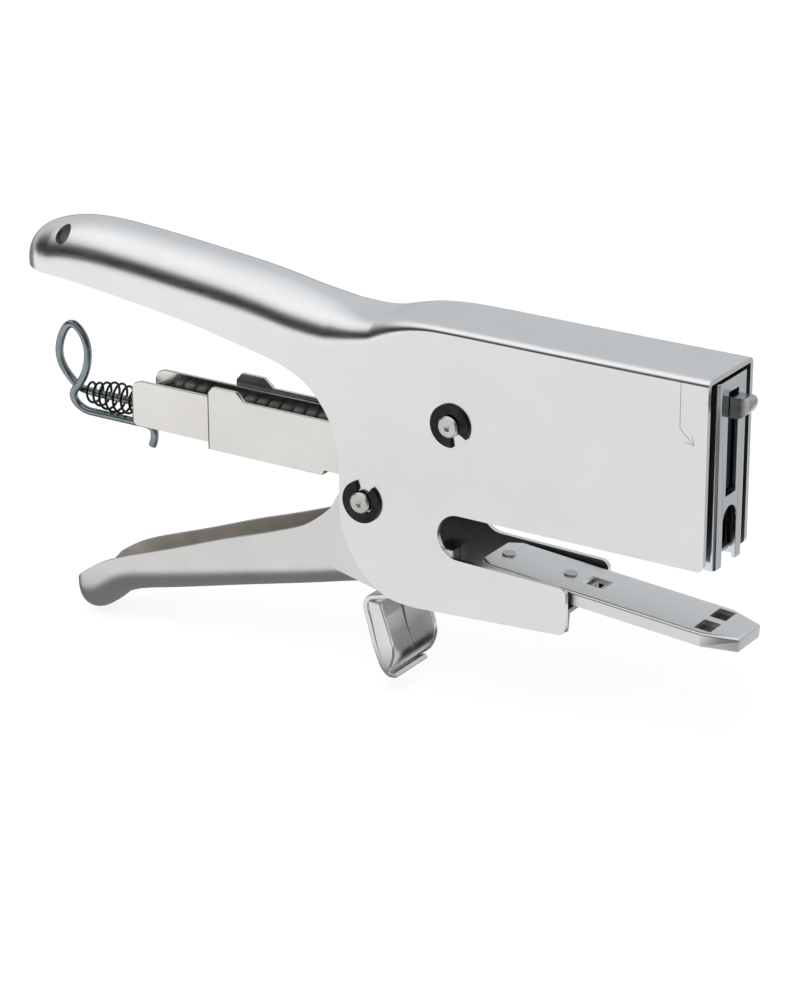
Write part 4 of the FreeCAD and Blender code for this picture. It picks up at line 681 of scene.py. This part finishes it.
def buildClip(name, node, centre, mouth):
    # an open ring whose inner edge comes in to the pin at three lugs, each a bell curve over the way round
    f = clipForm
    a = np.radians(np.linspace(mouth + f["mouth"] / 2, mouth + 360 - f["mouth"] / 2, 90))
    t = np.linspace(0, 1, 90)
    bite = sum(np.exp(-((t - middle) / width) ** 2) for middle, width in f["lugs"])
    r = f["inner"] + f["lugDepth"] * (1 - np.clip(bite, 0, 1))
    ring = np.vstack([np.column_stack([f["outer"] * np.cos(a), f["outer"] * np.sin(a)]),
                      np.column_stack([r * np.cos(a), r * np.sin(a)])[::-1]])
    clip = plate(name, ring + centre, *f["faces"], finish["black_oxide"], "black_oxide")
    bevel(clip, 0.12, 2)
    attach(clip, "body")
    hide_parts(node)


leverPin, springPin = (0.0, 0.0), (23.07, 22.59)
buildPin("leverPin", "lever_pin", leverPin)
buildPin("springPin", "spring_pin", springPin)
buildClip("leverPinClip", "lever_pin_clip", np.array(leverPin), 80.0)
buildClip("springPinClip", "spring_pin_clip", np.array(springPin), -55.0)
print("pins ready")

# the floor lies just below the lowest point
floorHeight = cadBox[0][2] - 0.0008
scene = bpy.context.scene
scene.view_settings.view_transform = "Standard"

# how bright the floor shows in the metal, near the stapler and away from it, with the places in metres between
# which each change runs; "seen" is how far the floor is lifted to white for the camera. The dark patch near the
# stapler is a painted shadow, the darker zones at the rear, the front and ahead of the nose are painted shade,
# and the rear gain is painted light, all seen only in the metal
floorTone = {"near": 0.20, "far": 0.90, "shadeEdge": (-0.032, -0.013), "behindEdge": (0.02, 0.05),
             "rearGain": 1.14, "gainEdge": (-0.20, -0.09), "rearDark": 0.12, "rearEdge": (-0.07, -0.03),
             "frontDim": 0.56, "frontEdge": (0.10, 0.14), "noseDim": 0.16, "noseEdge": (0.095, 0.12),
             "seen": 0.86}


def rampNode(n, link, source, edge, start=0.0, end=1.0):
    # source eased from start to end as it goes from the edge's first value to its second
    step = n.new("ShaderNodeMapRange")
    step.interpolation_type = "SMOOTHSTEP"
    for key, amount in (("From Min", edge[0]), ("From Max", edge[1]), ("To Min", start), ("To Max", end)):
        step.inputs[key].default_value = amount
    link.new(source, step.inputs["Value"])
    return step.outputs["Result"]


def mathNode(n, link, operation, first, second):
    both = n.new("ShaderNodeMath")
    both.operation = operation
    link.new(first, both.inputs[0])
    link.new(second, both.inputs[1])
    return both.outputs[0]


def buildFloor():
    # a pale floor that takes a faint shadow; in the metal it glows bright, with a painted shadow close to the
    # stapler
    mesh = bpy.data.meshes.new("floor")
    r = 4.0
    corners = [(x, y, floorHeight) for x, y in ((-r, -r), (r, -r), (r, r), (-r, r))]
    mesh.from_pydata(corners, [], [(0, 1, 2, 3)])
    floor = bpy.data.objects.new("floor", mesh)
    scene.collection.objects.link(floor)
    material, n, link, shader = principled("paleFloor")
    shader.inputs["Base Color"].default_value = (0.9, 0.9, 0.9, 1)
    shader.inputs["Roughness"].default_value = 0.8
    shader.inputs["Specular IOR Level"].default_value = 0.0
    path = n.new("ShaderNodeLightPath")
    where = n.new("ShaderNodeTexCoord")
    split = n.new("ShaderNodeSeparateXYZ")
    link.new(where.outputs["Object"], split.inputs["Vector"])
    t = floorTone
    x, y = split.outputs["X"], split.outputs["Y"]
    # painted shadow: the glow dimmed close to the stapler on the camera side, and painted shade ahead of the
    # nose
    shade = rampNode(n, link, y, t["shadeEdge"], t["far"], t["near"])
    shade = mathNode(n, link, "MULTIPLY", shade, rampNode(n, link, x, t["noseEdge"], 1.0, t["noseDim"]))
    # painted shade: behind the stapler the glow is dark at the rear and dimmer at the front
    behind = rampNode(n, link, y, t["behindEdge"], 0.0, t["far"])
    behind = mathNode(n, link, "MULTIPLY", behind, rampNode(n, link, x, t["rearEdge"], t["rearDark"], 1.0))
    behind = mathNode(n, link, "MULTIPLY", behind, rampNode(n, link, x, t["frontEdge"], 1.0, t["frontDim"]))
    # painted light: the glow made brighter far to the rear
    gain = rampNode(n, link, x, t["gainEdge"], t["rearGain"], 1.0)
    strength = mathNode(n, link, "MULTIPLY", mathNode(n, link, "MAXIMUM", shade, behind), gain)
    mirrored = n.new("ShaderNodeEmission")
    mirrored.inputs["Color"].default_value = (1.0, 0.995, 0.985, 1)
    link.new(strength, mirrored.inputs["Strength"])
    glow = n.new("ShaderNodeEmission")
    seen = n.new("ShaderNodeMixShader")
    seen.inputs["Fac"].default_value = t["seen"]
    link.new(shader.outputs["BSDF"], seen.inputs[1])
    link.new(glow.outputs["Emission"], seen.inputs[2])
    mixer = n.new("ShaderNodeMixShader")
    link.new(path.outputs["Is Glossy Ray"], mixer.inputs["Fac"])
    link.new(seen.outputs["Shader"], mixer.inputs[1])
    link.new(mirrored.outputs["Emission"], mixer.inputs[2])
    link.new(mixer.outputs["Shader"], n["Material Output"].inputs["Surface"])
    mesh.materials.append(material)


buildFloor()

# how bright the studio is at each height of the gaze, from the horizon (0) to straight up (1)
frontTones = ((0.0, 0.80), (0.03, 0.50), (0.08, 0.14), (0.15, 0.03), (0.30, 0.02), (0.42, 0.05), (0.52, 0.32),
              (0.60, 0.85), (0.72, 1.10), (0.86, 1.16), (1.0, 1.0))
backTones = ((0.0, 0.62), (0.35, 0.64), (0.6, 0.70), (0.85, 0.92), (1.0, 1.0))


def toneRamp(n, link, source, tones, tint):
    # a colour ramp through (place, brightness) pairs, each brightness times the tint
    ramp = n.new("ShaderNodeValToRGB")
    stops = ramp.color_ramp.elements
    for stop, (position, tone) in zip((stops[0], stops[1]), (tones[0], tones[-1])):
        stop.position = position
        stop.color = (tone * tint[0], tone * tint[1], tone * tint[2], 1)
    for position, tone in tones[1:-1]:
        stops.new(position).color = (tone * tint[0], tone * tint[1], tone * tint[2], 1)
    link.new(source, ramp.inputs["Fac"])
    return ramp.outputs["Color"]


def buildWorld():
    # a tent: a pale screen behind, a softbox overhead and the dark room in front; white to the camera
    world = bpy.data.worlds.new("softTent")
    scene.world = world
    world.use_nodes = True
    n, link = world.node_tree.nodes, world.node_tree.links
    background = n["Background"]
    where = n.new("ShaderNodeTexCoord")
    split = n.new("ShaderNodeSeparateXYZ")
    link.new(where.outputs["Generated"], split.inputs["Vector"])
    front = toneRamp(n, link, split.outputs["Z"], frontTones, (1.0, 0.99, 0.98))
    back = toneRamp(n, link, split.outputs["Z"], backTones, (0.97, 1.0, 1.03))
    side = n.new("ShaderNodeMix")
    side.data_type = "RGBA"
    link.new(rampNode(n, link, split.outputs["Y"], (-0.15, 0.35)), side.inputs["Factor"])
    link.new(front, side.inputs["A"])
    link.new(back, side.inputs["B"])
    path = n.new("ShaderNodeLightPath")
    white = n.new("ShaderNodeMix")
    white.data_type = "RGBA"
    white.inputs["B"].default_value = (1, 1, 1, 1)
    link.new(path.outputs["Is Camera Ray"], white.inputs["Factor"])
    link.new(side.outputs["Result"], white.inputs["A"])
    link.new(white.outputs["Result"], background.inputs["Color"])
    background.inputs["Strength"].default_value = 1.0


buildWorld()


def areaLight(name, location, size, power):
    # a soft box turned to the middle of the stapler; it lights the floor and doesn't show in the metal
    data = bpy.data.lights.new(name, "AREA")
    data.shape = "RECTANGLE"
    data.size, data.size_y = size
    data.energy = power
    lamp = bpy.data.objects.new(name, data)
    lamp.visible_glossy = False
    scene.collection.objects.link(lamp)
    aim = -np.array(location, float) / np.linalg.norm(location)
    side = np.cross(aim, (0, 0, 1.0))
    side /= np.linalg.norm(side)
    up = np.cross(side, aim)
    turn = Matrix((side, up, -aim)).transposed().to_4x4()
    turn.translation = location
    lamp.matrix_world = turn
    return lamp


areaLight("keyBox", (0.25, -0.7, 0.9), (0.7, 0.7), 9.0)
areaLight("fillBox", (-0.9, -0.3, 0.5), (0.6, 0.6), 4.0)
areaLight("backBox", (0.1, 0.9, 0.8), (0.9, 0.5), 5.0)

# the camera: degrees round and up, roll, distance, lens, and its target in mm from the lever pin
view = {"azimuth": 32.824, "elevation": 21.634, "roll": -0.176, "distance": 751.76, "lens": 120.38,
        "target": (3.381, 0.0, -2.285)}


def buildCamera():
    # stands along the line of sight from the target, upright but for the roll
    az, el = math.radians(view["azimuth"]), math.radians(view["elevation"])
    target = place([view["target"]])[0]
    out = np.array([math.sin(az) * math.cos(el), -math.cos(az) * math.cos(el), math.sin(el)])
    right = np.array([math.cos(az), math.sin(az), 0.0])
    up = np.cross(out, right)
    roll = math.radians(view["roll"])
    right, up = right * math.cos(roll) + up * math.sin(roll), up * math.cos(roll) - right * math.sin(roll)
    data = bpy.data.cameras.new("camera")
    data.lens = view["lens"]
    data.clip_end = 20.0
    camera = bpy.data.objects.new("camera", data)
    scene.collection.objects.link(camera)
    turn = Matrix((right, up, out)).transposed().to_4x4()
    turn.translation = target + out * view["distance"] / 1000.0
    camera.matrix_world = turn
    scene.camera = camera


buildCamera()
print("stage and camera ready")
